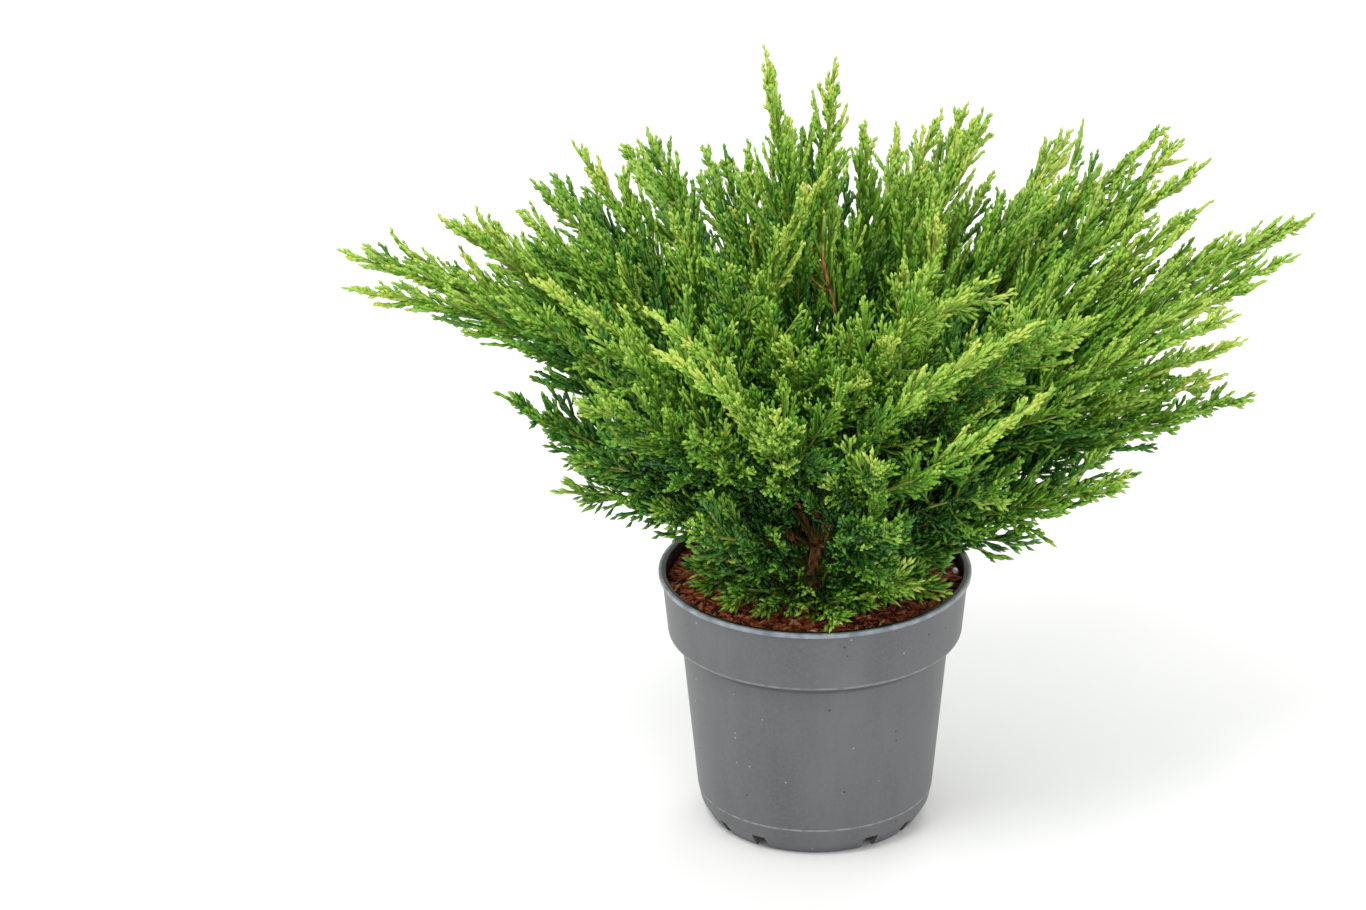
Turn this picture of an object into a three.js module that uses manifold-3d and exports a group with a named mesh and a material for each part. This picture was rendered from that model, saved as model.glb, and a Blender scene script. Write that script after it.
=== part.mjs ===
// A spreading juniper in a round nursery pot: a short trunk that forks just above the mulch, arching
// boughs, and one mass of scaly sprays round the leading shoot of each bough.
// Millimetres, +Z up. The origin is the centre of the pot's flat underside. -Y is the front and +X the
// right, and every direction is an angle in degrees from +X towards +Y, the back.

import * as THREE from "three";
import { mergeVertices } from "three/addons/utils/BufferGeometryUtils.js";
import Module from "manifold-3d";

const wasm = await Module();
wasm.setup();

// The gap between neighbouring pieces.
const clearance = 0.3;
// Details of the foliage smaller than this are smoothed away.
const finest = 0.1;

const pot = {
  height: 138,
  wall: 2,
  lipRadius: 81,
  lipHeight: 2.6,
  lipRound: 0.7,
  collarTopRadius: 79.2,
  collarBottomRadius: 76,
  collarBottomHeight: 103.5,
  bodyTopRadius: 69.4,
  seamRadius: 61.2,
  seamHeight: 16.5,
  heelRadius: 59.8,
  heelHeight: 9.2,
  footRadius: 53.6,
  footWidth: 2.4,
  bossRadius: 24,
  bossSlope: 4,
  segments: 30,
  color: 0x73767a,
};

// Drainage slots cut up through the heel, in groups round the pot.
const slots = {
  singles: [60, 120, 240, 300],
  pairs: [30, 150, 210, 330],
  pairSpread: 5.5,
  width: 5.5,
  singleWidth: 8,
  depth: 16,
};

const mulch = {
  edgeHeight: 130,
  middleHeight: 132.5,
  flatRadius: 16,
  bump: 0.7,
  bumpsPerMillimetre: [0.31, 0.12, 0.37, 0.21],
  rings: 3,
  segments: 20,
  color: 0x6a3922,
};

const trunk = {
  foot: [-2, -8],
  top: [1, -2],
  forkHeight: 152,
  neckRadius: 5.4,
  flare: 3.8,
  flareHeight: 7,
  buttresses: 5,
  sides: 10,
  steps: 4,
  color: 0x7b4a33,
};

// The four kinds of leading shoot. Each leaves the trunk at a height, is a bare bough for the first
// share of its length, and carries its mass of foliage from there to the tip. The bend says how far out
// and how far up, as shares of the whole, the shoot is pulled in its middle.
const kinds = {
  top: {
    from: 1,
    bend: [0.25, 0.5],
    sway: 10,
    boughShare: 0.26,
    boughRadius: 2.7,
    sideShoots: 2,
    shootLength: 56,
    sprayLength: 54,
    sprayStep: 24,
    color: 0x4f8c2f,
  },
  rim: {
    from: 0.9,
    bend: [0.42, 0.6],
    sway: 12,
    boughShare: 0.27,
    boughRadius: 2.8,
    sideShoots: 2,
    shootLength: 96,
    sprayLength: 74,
    sprayStep: 31,
    color: 0x5a9632,
  },
  lower: {
    from: 0.62,
    bend: [0.5, 0.46],
    sway: 8,
    boughShare: 0.3,
    boughRadius: 2.3,
    sideShoots: 2,
    shootLength: 72,
    sprayLength: 66,
    sprayStep: 30,
    color: 0x3f7a2b,
  },
  skirt: {
    from: 0.3,
    bend: [0.5, 0.66],
    sway: 5,
    boughShare: 0,
    boughRadius: 1.5,
    sideShoots: 1,
    shootLength: 50,
    sprayLength: 50,
    sprayStep: 30,
    color: 0x4b9136,
  },
};

// Where each leading shoot points, how far its tip reaches from the pot's axis, and how high it ends.
const leaders = [
  { kind: "top", towards: 142, reach: 32, top: 416 },
  { kind: "top", towards: 72, reach: 32, top: 408 },
  { kind: "top", towards: 283, reach: 31, top: 370 },
  { kind: "rim", towards: 7, reach: 262, top: 322 },
  { kind: "rim", towards: 32, reach: 232, top: 330 },
  { kind: "rim", towards: 49, reach: 210, top: 322 },
  { kind: "rim", towards: 63, reach: 210, top: 320 },
  { kind: "rim", towards: 77, reach: 202, top: 318 },
  { kind: "rim", towards: 94, reach: 198, top: 306 },
  { kind: "rim", towards: 108, reach: 196, top: 302 },
  { kind: "rim", towards: 121, reach: 204, top: 308 },
  { kind: "rim", towards: 138, reach: 186, top: 308 },
  { kind: "rim", towards: 158, reach: 206, top: 300 },
  { kind: "rim", towards: 175, reach: 248, top: 306 },
  { kind: "rim", towards: 229, reach: 178, top: 288 },
  { kind: "rim", towards: 264, reach: 168, top: 288 },
  { kind: "rim", towards: 312, reach: 184, top: 330 },
  { kind: "rim", towards: 347, reach: 238, top: 298 },
  { kind: "lower", towards: 357, reach: 226, top: 240 },
  { kind: "lower", towards: 330, reach: 176, top: 222 },
  { kind: "lower", towards: 286, reach: 146, top: 222 },
  { kind: "lower", towards: 244, reach: 142, top: 216 },
  { kind: "lower", towards: 197, reach: 166, top: 252 },
  { kind: "lower", towards: 122, reach: 160, top: 226 },
  { kind: "lower", towards: 52, reach: 166, top: 226 },
  { kind: "skirt", towards: 346, reach: 126, top: 188 },
  { kind: "skirt", towards: 302, reach: 90, top: 164 },
  { kind: "skirt", towards: 266, reach: 72, top: 158 },
  { kind: "skirt", towards: 214, reach: 116, top: 190 },
  { kind: "skirt", towards: 180, reach: 124, top: 186 },
  { kind: "skirt", towards: 106, reach: 108, top: 176 },
  { kind: "skirt", towards: 60, reach: 108, top: 176 },
];

// Side shoots are straight. Angles are in degrees, and shares are of the stem's length.
const twig = {
  sides: 3,
  rootRadius: 1.5,
  stemTipRadius: 0.8,
  stemSteps: 6,
  shootRadius: 1,
  shootTipRadius: 0.5,
  leastAngle: 22,
  angleSpread: 12,
  raise: 52,
  firstShoot: 0.06,
  lastShoot: 0.78,
  shortening: 0.5,
  sizes: [1, 0.8, 0.6, 0.45],
  margin: 1.2,
};

// A spray is a toothed blade. Its sizes are shares of its length, but for the thickness and the rib.
const spray = {
  thickness: 1.8,
  ribHalf: 1.3,
  toothAngle: 40,
  toothLength: 0.5,
  toothRoot: 0.35,
  otherSide: 0.4,
  notch: 0.35,
  toothedShare: 0.76,
  pairPitch: 30,
  fewestPairs: 2,
  mostPairs: 3,
  unevenness: 0.25,
  lift: 0.14,
  // Shares of the length and of the breadth, in the order in which they are tried.
  fits: [
    [1, 1],
    [1, 0.72],
    [0.84, 0.8],
    [0.68, 0.8],
    [0.54, 0.8],
    [0.42, 0.8],
  ],
  leastAngle: 26,
  angleSpread: 14,
  rollSpread: 92,
  sizeSpread: 0.3,
  shortening: 0.3,
  tipShare: 0.7,
  firstOnStem: 0.05,
  firstOnShoot: 0.4,
  sunkLength: 3,
  margin: 0.5,
};

const radians = THREE.MathUtils.degToRad;
// Blades lie across the line from here, so that the crown looks full from outside.
const crownHeart = new THREE.Vector3(0, 0, 190);
const goldenAngle = radians(137.5);
// How much nearer to another stem than to its own a twig may reach.
const spaceOverlap = 4;
// How far twigs keep from the lip of the pot.
const lipGap = 4;
const firstSeed = 23;
const frameSteps = 40;
const chainSteps = 12;

// The same numbers in the same order on every run.
function seededRandom(seed) {
  let state = seed;
  return function next() {
    state = (state + 0x6d2b79f5) | 0;
    let mixed = Math.imul(state ^ (state >>> 15), 1 | state);
    mixed = (mixed + Math.imul(mixed ^ (mixed >>> 7), 61 | mixed)) ^ mixed;
    return ((mixed ^ (mixed >>> 14)) >>> 0) / 4294967296;
  };
}

// Solids

// Faces that have shrunk to a line are left out.
function solidFrom(geometry) {
  const bare = geometry.clone();
  bare.deleteAttribute("normal");
  bare.deleteAttribute("uv");
  const merged = mergeVertices(bare, 1e-4);
  const corners = merged.index.array;
  const faces = [];
  for (let i = 0; i < corners.length; i += 3) {
    const [a, b, c] = corners.slice(i, i + 3);
    if (a !== b && b !== c && c !== a) {
      faces.push(a, b, c);
    }
  }
  return new wasm.Manifold(
    new wasm.Mesh({
      numProp: 3,
      vertProperties: new Float32Array(merged.attributes.position.array),
      triVerts: new Uint32Array(faces),
    }),
  );
}

// The largest body of a solid, without loose scraps or sealed hollows.
function mainBody(solid) {
  const bodies = solid.decompose();
  return bodies.reduce((best, body) => (body.volume() > best.volume() ? body : best));
}

function meshFrom(name, solid, color, roughness) {
  const data = solid.getMesh();
  const geometry = new THREE.BufferGeometry();
  geometry.setAttribute("position", new THREE.BufferAttribute(data.vertProperties, 3));
  geometry.setIndex(new THREE.BufferAttribute(data.triVerts, 1));
  geometry.computeVertexNormals();
  const material = new THREE.MeshStandardMaterial({ color, roughness, metalness: 0 });
  const mesh = new THREE.Mesh(geometry, material);
  mesh.name = name;
  return mesh;
}

// A lathe profile is a list of [radius, height] from the axis to the axis.
function turned(profile, segments) {
  const points = profile.map(([radius, height]) => new THREE.Vector2(radius, height));
  const geometry = new THREE.LatheGeometry(points, segments);
  geometry.rotateX(Math.PI / 2);
  return geometry;
}

// Evenly spaced frames along a curve that don't spin: a point, a tangent, a direction across that is level
// at the start, and one square to both, on the upper side.
function framesAlong(curve, steps) {
  const frames = [];
  let across = new THREE.Vector3().crossVectors(curve.getTangentAt(0), new THREE.Vector3(0, 0, 1));
  for (let i = 0; i <= steps; i++) {
    const tangent = curve.getTangentAt(i / steps);
    across = across.clone().addScaledVector(tangent, -across.dot(tangent)).normalize();
    const other = across.clone().cross(tangent);
    frames.push({ point: curve.getPointAt(i / steps), tangent, across, other });
  }
  return frames;
}

// A round limb along a curve. The radius is a function of the share of the length and of the angle.
function limbGeometry(curve, sides, steps, radiusAt) {
  const geometry = new THREE.CylinderGeometry(1, 1, 1, sides, steps);
  const frames = framesAlong(curve, steps);
  const position = geometry.attributes.position;
  const corner = new THREE.Vector3();
  for (let i = 0; i < position.count; i++) {
    corner.fromBufferAttribute(position, i);
    const share = corner.y + 0.5;
    const frame = frames[Math.round(share * steps)];
    const radius = radiusAt(share, Math.atan2(corner.z, corner.x));
    const placed = frame.point
      .clone()
      .addScaledVector(frame.across, corner.x * radius)
      .addScaledVector(frame.other, corner.z * radius);
    position.setXYZ(i, placed.x, placed.y, placed.z);
  }
  return geometry;
}

function taper(rootRadius, tipRadius) {
  return (share) => rootRadius + (tipRadius - rootRadius) * share;
}

// The stretch of a curve between two shares of its length, as a curve of its own.
function stretch(curve, from, to, count) {
  const points = [];
  for (let i = 0; i <= count; i++) {
    points.push(curve.getPointAt(from + ((to - from) * i) / count));
  }
  return new THREE.CatmullRomCurve3(points);
}

// Pot and mulch

function potProfile() {
  const p = pot;
  const lipUnder = p.height - p.lipHeight;
  const floorTop = p.heelHeight + p.wall;
  const seamInside = p.seamRadius - p.wall;
  return [
    [0, 0],
    [p.bossRadius, 0],
    [p.bossRadius + p.bossSlope, p.heelHeight],
    [p.heelRadius - p.footWidth, p.heelHeight],
    [p.footRadius - p.footWidth, 0],
    [p.footRadius, 0],
    [p.heelRadius, p.heelHeight],
    [p.seamRadius, p.seamHeight],
    [p.bodyTopRadius, p.collarBottomHeight],
    [p.collarBottomRadius, p.collarBottomHeight],
    [p.collarTopRadius, lipUnder],
    [p.lipRadius, lipUnder],
    [p.lipRadius, p.height - p.lipRound],
    [p.lipRadius - p.lipRound, p.height],
    [p.collarTopRadius - p.wall, p.height],
    [p.collarBottomRadius - p.wall, p.collarBottomHeight + p.wall],
    [p.bodyTopRadius - p.wall, p.collarBottomHeight + p.wall],
    [seamInside, p.seamHeight],
    [seamInside - p.wall, floorTop],
    [p.bossRadius + p.bossSlope - p.wall, floorTop],
    [p.bossRadius - p.wall, p.wall],
    [0, p.wall],
  ];
}

function slotCutter(angle, width) {
  const height = pot.heelHeight;
  const box = new THREE.BoxGeometry(slots.depth, width, height);
  box.translate(pot.footRadius + 1, 0, height / 2 - 1);
  box.rotateZ(radians(angle));
  return solidFrom(box);
}

function makePot() {
  let solid = solidFrom(turned(potProfile(), pot.segments));
  for (const angle of slots.pairs) {
    solid = solid.subtract(slotCutter(angle - slots.pairSpread, slots.width));
    solid = solid.subtract(slotCutter(angle + slots.pairSpread, slots.width));
  }
  for (const angle of slots.singles) {
    solid = solid.subtract(slotCutter(angle, slots.singleWidth));
  }
  return meshFrom("pot", mainBody(solid), pot.color, 0.55);
}

function mulchHeight(radius, edgeRadius) {
  const share = THREE.MathUtils.smoothstep(radius, mulch.flatRadius, edgeRadius);
  return mulch.middleHeight + (mulch.edgeHeight - mulch.middleHeight) * share;
}

// The fill of the pot: it follows the inside of the wall and has an uneven top, flat round the trunk.
function makeMulch() {
  const p = pot;
  const gap = p.wall + clearance;
  const ledge = p.collarBottomHeight + gap;
  const wallShare = (mulch.edgeHeight - ledge) / (p.height - ledge);
  const collarWidening = p.collarTopRadius - p.collarBottomRadius;
  const edgeRadius = p.collarBottomRadius - gap - clearance + collarWidening * wallShare;
  const profile = [
    [0, gap],
    [p.bossRadius - p.wall - clearance, gap],
    [p.bossRadius + p.bossSlope - p.wall - clearance, p.heelHeight + gap],
    [p.seamRadius - p.wall - gap - clearance, p.heelHeight + gap],
    [p.seamRadius - gap - clearance, p.seamHeight],
    [p.bodyTopRadius - gap - clearance, ledge],
    [p.collarBottomRadius - gap - clearance, ledge],
    [edgeRadius, mulch.edgeHeight],
  ];
  for (let ring = mulch.rings; ring > 0; ring--) {
    const inner = ring - 1;
    const radius = mulch.flatRadius + ((edgeRadius - mulch.flatRadius) * inner) / mulch.rings;
    profile.push([radius, mulchHeight(radius, edgeRadius)]);
  }
  profile.push([0, mulch.middleHeight]);
  const geometry = turned(profile, mulch.segments);
  const position = geometry.attributes.position;
  for (let i = 0; i < position.count; i++) {
    const x = position.getX(i);
    const y = position.getY(i);
    const radius = Math.hypot(x, y);
    const onTop = position.getZ(i) > ledge + 1;
    if (onTop && radius > mulch.flatRadius + 1 && radius < edgeRadius - 1) {
      const [a, b, c, d] = mulch.bumpsPerMillimetre;
      const bump = Math.sin(x * a + y * b) + Math.sin(y * c - x * d);
      position.setZ(i, position.getZ(i) + bump * mulch.bump);
    }
  }
  return meshFrom("bark_mulch", mainBody(solidFrom(geometry)), mulch.color, 0.95);
}

// Trunk and boughs

const trunkFoot = new THREE.Vector3(trunk.foot[0], trunk.foot[1], mulch.middleHeight + clearance);
const trunkTop = new THREE.Vector3(trunk.top[0], trunk.top[1], trunk.forkHeight);
const trunkCurve = new THREE.LineCurve3(trunkFoot, trunkTop);

// The flare has a few buttresses and is gone a little way up.
function trunkRadius(extra) {
  return (share, angle) => {
    const rise = share * (trunk.forkHeight - trunkFoot.z);
    const flare = trunk.flare * Math.exp(-rise / (trunk.flareHeight / 2));
    const lobes = 1 + 0.35 * Math.cos(angle * trunk.buttresses);
    return trunk.neckRadius * (1 - 0.15 * share) + flare * lobes + extra;
  };
}

// The flat cut at the foot is level with the mulch, whatever the lean.
function trunkSolid(extra) {
  const geometry = limbGeometry(trunkCurve, trunk.sides, trunk.steps, trunkRadius(extra));
  const position = geometry.attributes.position;
  for (let i = 0; i < position.count; i++) {
    const share = (position.getZ(i) - trunkFoot.z) / (trunk.forkHeight - trunkFoot.z);
    if (share < 0.5 / trunk.steps) {
      position.setZ(i, trunkFoot.z - extra);
    }
  }
  return solidFrom(geometry);
}

function leaderCurve(leader, index) {
  const kind = kinds[leader.kind];
  const angle = radians(leader.towards);
  const outward = new THREE.Vector3(Math.cos(angle), Math.sin(angle), 0);
  const sideways = new THREE.Vector3(-Math.sin(angle), Math.cos(angle), 0);
  const start = trunkCurve.getPointAt(kind.from);
  const tip = outward.clone().multiplyScalar(leader.reach).setZ(leader.top);
  const middle = new THREE.Vector3(
    start.x + (tip.x - start.x) * kind.bend[0],
    start.y + (tip.y - start.y) * kind.bend[0],
    start.z + (tip.z - start.z) * kind.bend[1],
  );
  middle.addScaledVector(sideways, kind.sway * Math.sin(index * 2.4));
  return new THREE.QuadraticBezierCurve3(start, middle, tip);
}

// A point's distance to a chain of straight pieces.
function distanceToChain(point, chain) {
  const nearest = new THREE.Vector3();
  const piece = new THREE.Line3();
  let best = Infinity;
  for (let i = 1; i < chain.length; i++) {
    piece.set(chain[i - 1], chain[i]);
    piece.closestPointToPoint(point, true, nearest);
    best = Math.min(best, nearest.distanceTo(point));
  }
  return best;
}

const sides = ["right", "back_right", "back", "back_left", "left", "front_left", "front", "front_right"];

function sideOf(leader) {
  return sides[Math.round((leader.towards * sides.length) / 360) % sides.length];
}

// A kind, a side, and a number where several of the kind share the side.
function nameOf(leader) {
  const peers = leaders.filter((one) => one.kind === leader.kind && sideOf(one) === sideOf(leader));
  const number = peers.length > 1 ? "_" + (peers.indexOf(leader) + 1) : "";
  return leader.kind + "_" + sideOf(leader) + number;
}

// The limbs and masses that stand already.
const grown = [];

const shoots = leaders.map((leader, index) => {
  const kind = kinds[leader.kind];
  const curve = leaderCurve(leader, index);
  const length = curve.getLength();
  const trunkShare = (trunk.neckRadius + clearance) / length;
  const boughEnd = Math.max(kind.boughShare, trunkShare);
  const stemStart = boughEnd + clearance / length;
  const terminal = kind.sprayLength * spray.tipShare;
  const stem = stretch(curve, stemStart, 1 - terminal / length, chainSteps);
  const stemTaper = taper(twig.rootRadius, twig.stemTipRadius);
  return {
    name: nameOf(leader),
    kind,
    curve,
    seed: firstSeed + index,
    hasBough: kind.boughShare > 0,
    bough: stretch(curve, 0, boughEnd, chainSteps),
    stem,
    stemSolid: solidFrom(limbGeometry(stem, twig.sides, twig.stemSteps, stemTaper)),
    terminal,
    stemChain: stretch(curve, stemStart, 1, chainSteps).getPoints(chainSteps),
    boughChain: stretch(curve, 0, boughEnd, chainSteps).getPoints(chainSteps),
  };
});

const boughSides = 4;
const boughSteps = 2;

function boughSolid(shoot, extra) {
  const radiusAt = taper(shoot.kind.boughRadius + extra, twig.rootRadius + extra);
  return solidFrom(limbGeometry(shoot.bough, boughSides, boughSteps, radiusAt));
}

// Each bough is cut clear of the trunk and of the boughs that leave it before.
function makeBoughs() {
  let taken = trunkSolid(clearance);
  const meshes = [];
  for (const shoot of shoots.filter((one) => one.hasBough)) {
    const solid = mainBody(boughSolid(shoot, 0).subtract(taken));
    taken = taken.add(boughSolid(shoot, clearance));
    grown.push(solid);
    meshes.push(meshFrom("bough_" + shoot.name, solid, trunk.color, 0.85));
  }
  return meshes;
}

// Foliage

// A point is in a shoot's own space if that shoot's stem is nearest, or nearly so, and no limb, mulch or
// pot is near.
function hasRoom(point, shoot, margin) {
  const lipZone = Math.hypot(point.x, point.y) < pot.lipRadius + lipGap;
  if (point.z < pot.height - lipGap || (lipZone && point.z < pot.height + lipGap / 2)) {
    return false;
  }
  if (distanceToChain(point, [trunkFoot, trunkTop]) < trunk.neckRadius + trunk.flare + margin) {
    return false;
  }
  const own = distanceToChain(point, shoot.stemChain);
  for (const other of shoots) {
    if (other !== shoot && distanceToChain(point, other.stemChain) < own - spaceOverlap) {
      return false;
    }
    if (other.hasBough && distanceToChain(point, other.boughChain) < other.kind.boughRadius + margin) {
      return false;
    }
  }
  return true;
}

// One side of a blade from the root up: a tooth's tip and the notch above it, over and over.
function toothedSide(length, breadth, pairs, side, random) {
  const points = [];
  const pitch = (length * spray.toothedShare) / pairs;
  const angle = radians(spray.toothAngle);
  const shift = side > 0 ? 0 : pitch * spray.otherSide;
  for (let i = 0; i < pairs; i++) {
    const left = 1 - (0.55 * i) / pairs;
    const tooth = length * spray.toothLength * left * (1 - spray.unevenness * random());
    const reach = tooth * breadth * Math.sin(angle);
    const root = pitch * (i + spray.toothRoot) + shift;
    const rib = spray.ribHalf * (1 - (0.5 * (i + 1)) / (pairs + 1));
    const tip = new THREE.Vector2(side * (rib + reach), root + tooth * Math.cos(angle));
    const notch = new THREE.Vector2(side * (rib + reach * spray.notch), root + pitch * 0.8);
    points.push(tip, notch);
  }
  return points;
}

// A blade lies along +Y with its root at the origin. It is thick at its root and notches, sharp at its
// points, and curves up towards its tip.
function sprayGeometry(length, breadth, random) {
  const pairs = THREE.MathUtils.clamp(
    Math.round(length / spray.pairPitch),
    spray.fewestPairs,
    spray.mostPairs,
  );
  const right = toothedSide(length, breadth, pairs, 1, random);
  const left = toothedSide(length, breadth, pairs, -1, random);
  const root = new THREE.Vector2(0, 0);
  const thickPoints = [root, ...right, ...left].filter((point, index) => index % 2 === 0);
  const tip = new THREE.Vector2(0, length);
  const shape = new THREE.Shape([root, ...right, tip, ...left.reverse()]);
  const geometry = new THREE.ExtrudeGeometry(shape, { depth: spray.thickness, bevelEnabled: false });
  const position = geometry.attributes.position;
  const corner = new THREE.Vector2();
  for (let i = 0; i < position.count; i++) {
    corner.fromBufferAttribute(position, i);
    const share = corner.y / length;
    const isThick = thickPoints.some((point) => point.distanceTo(corner) < 0.01);
    const height = isThick ? (position.getZ(i) - spray.thickness / 2) * (1 - 0.5 * share) : 0;
    position.setZ(i, height + spray.lift * length * share * share);
  }
  return geometry;
}

// A direction that leaves the tangent by an angle, turned round it by the roll.
function branchDirection(frame, angle, roll) {
  const outward = frame.across.clone().multiplyScalar(Math.cos(roll));
  outward.addScaledVector(frame.other, Math.sin(roll));
  return frame.tangent.clone().multiplyScalar(Math.cos(angle)).addScaledVector(outward, Math.sin(angle));
}

function placedSpray(root, direction, roll, length, breadth, random) {
  const geometry = sprayGeometry(length, breadth, random);
  const outward = root.clone().sub(crownHeart).normalize();
  const width = new THREE.Vector3().crossVectors(direction, outward).normalize();
  width.applyAxisAngle(direction, roll);
  const normal = new THREE.Vector3().crossVectors(width, direction);
  geometry.applyMatrix4(new THREE.Matrix4().makeBasis(width, direction, normal).setPosition(root));
  return geometry;
}

// Every corner of the blade past its sunk root has to have room, and the middle of every edge.
function sprayFits(geometry, root, shoot) {
  const position = geometry.attributes.position;
  const corner = new THREE.Vector3();
  const middle = new THREE.Vector3();
  for (let i = 0; i < position.count; i++) {
    corner.fromBufferAttribute(position, i);
    middle.fromBufferAttribute(position, i % 3 === 2 ? i - 2 : i + 1).add(corner).multiplyScalar(0.5);
    for (const point of [corner, middle]) {
      if (point.distanceTo(root) > spray.sunkLength && !hasRoom(point, shoot, spray.margin)) {
        return false;
      }
    }
  }
  return true;
}

function isClear(solid, shoot) {
  const stems = shoots.filter((other) => other !== shoot).map((other) => other.stemSolid);
  return [...grown, ...stems].every((other) => solid.minGap(other, clearance) >= clearance);
}

// A spray of the largest size that has room, or none.
function tryToGrowSpray(root, direction, length, shoot, random) {
  const roll = (random() - 0.5) * radians(spray.rollSpread);
  for (const [size, breadth] of spray.fits) {
    const geometry = placedSpray(root, direction, roll, length * size, breadth, random);
    if (sprayFits(geometry, root, shoot)) {
      const solid = solidFrom(geometry);
      if (isClear(solid, shoot)) {
        return solid;
      }
    }
  }
  return null;
}

// Straight side shoots leave the stem at an acute angle, to one side and the other in turn, and a little
// above it.
function growSideShoots(shoot, random) {
  const kind = shoot.kind;
  const lines = [];
  const shootTaper = taper(twig.shootRadius, twig.shootTipRadius);
  const frames = framesAlong(shoot.stem, frameSteps);
  for (let i = 0; i < kind.sideShoots; i++) {
    const share = twig.firstShoot + ((twig.lastShoot - twig.firstShoot) * i) / kind.sideShoots;
    const frame = frames[Math.round(share * frameSteps)];
    const raised = radians(twig.raise) * (0.5 + random());
    const roll = i % 2 === 0 ? raised : Math.PI - raised;
    const angle = radians(twig.leastAngle + twig.angleSpread * random());
    const direction = branchDirection(frame, angle, roll);
    const full = kind.shootLength * (1 - twig.shortening * share);
    for (const size of twig.sizes) {
      const end = frame.point.clone().addScaledVector(direction, full * size);
      const curve = new THREE.LineCurve3(frame.point, end);
      const solid = solidFrom(limbGeometry(curve, twig.sides, 1, shootTaper));
      const way = curve.getPoints(chainSteps).slice(1);
      if (way.every((point) => hasRoom(point, shoot, twig.margin)) && isClear(solid, shoot)) {
        lines.push({ curve, solid });
        break;
      }
    }
  }
  return lines;
}

function makeFoliage(shoot) {
  const random = seededRandom(shoot.seed);
  const kind = shoot.kind;
  let solid = shoot.stemSolid;
  const axes = [{ curve: shoot.stem, start: spray.firstOnStem }];
  for (const line of growSideShoots(shoot, random)) {
    solid = solid.add(line.solid);
    axes.push({ curve: line.curve, start: spray.firstOnShoot });
  }
  let roll = random() * Math.PI * 2;
  for (const axis of axes) {
    const length = axis.curve.getLength();
    const count = Math.max(1, Math.round((length * (1 - axis.start)) / kind.sprayStep));
    const frames = framesAlong(axis.curve, frameSteps);
    const end = frames[frameSteps - 1];
    const tip = tryToGrowSpray(end.point, end.tangent, shoot.terminal, shoot, random);
    if (tip) {
      solid = solid.add(tip);
    }
    for (let i = 0; i < count; i++) {
      const share = axis.start + ((1 - axis.start) * i) / count;
      const frame = frames[Math.round(share * frameSteps)];
      roll += goldenAngle;
      const angle = radians(spray.leastAngle + spray.angleSpread * random());
      const direction = branchDirection(frame, angle, roll);
      const uneven = 1 + spray.sizeSpread * (random() - 0.5);
      const size = kind.sprayLength * (1 - spray.shortening * share) * uneven;
      const blade = tryToGrowSpray(frame.point, direction, size, shoot, random);
      if (blade) {
        solid = solid.add(blade);
      }
    }
  }
  if (!shoot.hasBough) {
    solid = solid.subtract(trunkSolid(clearance));
  }
  const mass = mainBody(solid.simplify(finest));
  grown.push(mass);
  return meshFrom("foliage_" + shoot.name, mass, kind.color, 0.7);
}

const plant = new THREE.Group();
plant.name = "potted_juniper";
plant.add(makePot());
plant.add(makeMulch());
plant.add(meshFrom("trunk", trunkSolid(0), trunk.color, 0.85));
plant.add(...makeBoughs());
plant.add(...shoots.map(makeFoliage));

export default plant;
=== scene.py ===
import math
from itertools import product

import bpy
import numpy as np
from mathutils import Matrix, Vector, noise


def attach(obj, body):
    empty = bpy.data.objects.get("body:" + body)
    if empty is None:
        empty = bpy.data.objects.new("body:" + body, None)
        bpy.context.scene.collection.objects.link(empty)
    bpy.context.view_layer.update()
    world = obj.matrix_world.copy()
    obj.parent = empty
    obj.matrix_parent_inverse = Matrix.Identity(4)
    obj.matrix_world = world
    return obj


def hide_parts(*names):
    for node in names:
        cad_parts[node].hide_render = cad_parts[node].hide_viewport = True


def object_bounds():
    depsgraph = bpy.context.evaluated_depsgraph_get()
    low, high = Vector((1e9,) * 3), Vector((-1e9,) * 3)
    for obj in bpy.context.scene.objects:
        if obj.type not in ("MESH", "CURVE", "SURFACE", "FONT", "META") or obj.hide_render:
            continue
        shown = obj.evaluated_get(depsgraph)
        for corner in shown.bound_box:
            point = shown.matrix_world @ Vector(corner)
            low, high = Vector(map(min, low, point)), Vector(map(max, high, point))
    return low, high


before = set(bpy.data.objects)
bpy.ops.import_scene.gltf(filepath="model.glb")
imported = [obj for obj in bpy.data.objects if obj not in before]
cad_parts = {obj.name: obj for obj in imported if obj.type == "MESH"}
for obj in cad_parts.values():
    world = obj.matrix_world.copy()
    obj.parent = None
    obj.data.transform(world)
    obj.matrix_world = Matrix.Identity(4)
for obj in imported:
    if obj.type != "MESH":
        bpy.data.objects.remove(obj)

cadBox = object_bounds()
nodeNames = sorted(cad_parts)
foliageNodes = [name for name in nodeNames if name.startswith("foliage_")]
limbNodes = [name for name in nodeNames if name == "trunk" or name.startswith("bough_")]
goldenAngle = math.radians(137.5)
print("frame loaded:", len(nodeNames), "nodes")


# Paths and meshes

def unit(vectors):
    lengths = np.linalg.norm(vectors, axis=-1, keepdims=True)
    return vectors / np.maximum(lengths, 1e-9)


def squareTo(vectors, axes):
    return unit(vectors - np.sum(vectors * axes, axis=-1, keepdims=True) * axes)


def sampled(at, places, rows):
    # rows of three numbers that stand at places, read in between
    return np.stack([np.interp(at, places, rows[:, i]) for i in range(3)], axis=-1)


def evenPath(points, count):
    # the same way with its points evenly spaced
    steps = np.linalg.norm(np.diff(points, axis=0), axis=1)
    along = np.concatenate([[0.0], np.cumsum(steps)])
    return sampled(np.linspace(0.0, along[-1], count), along, points)


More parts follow.
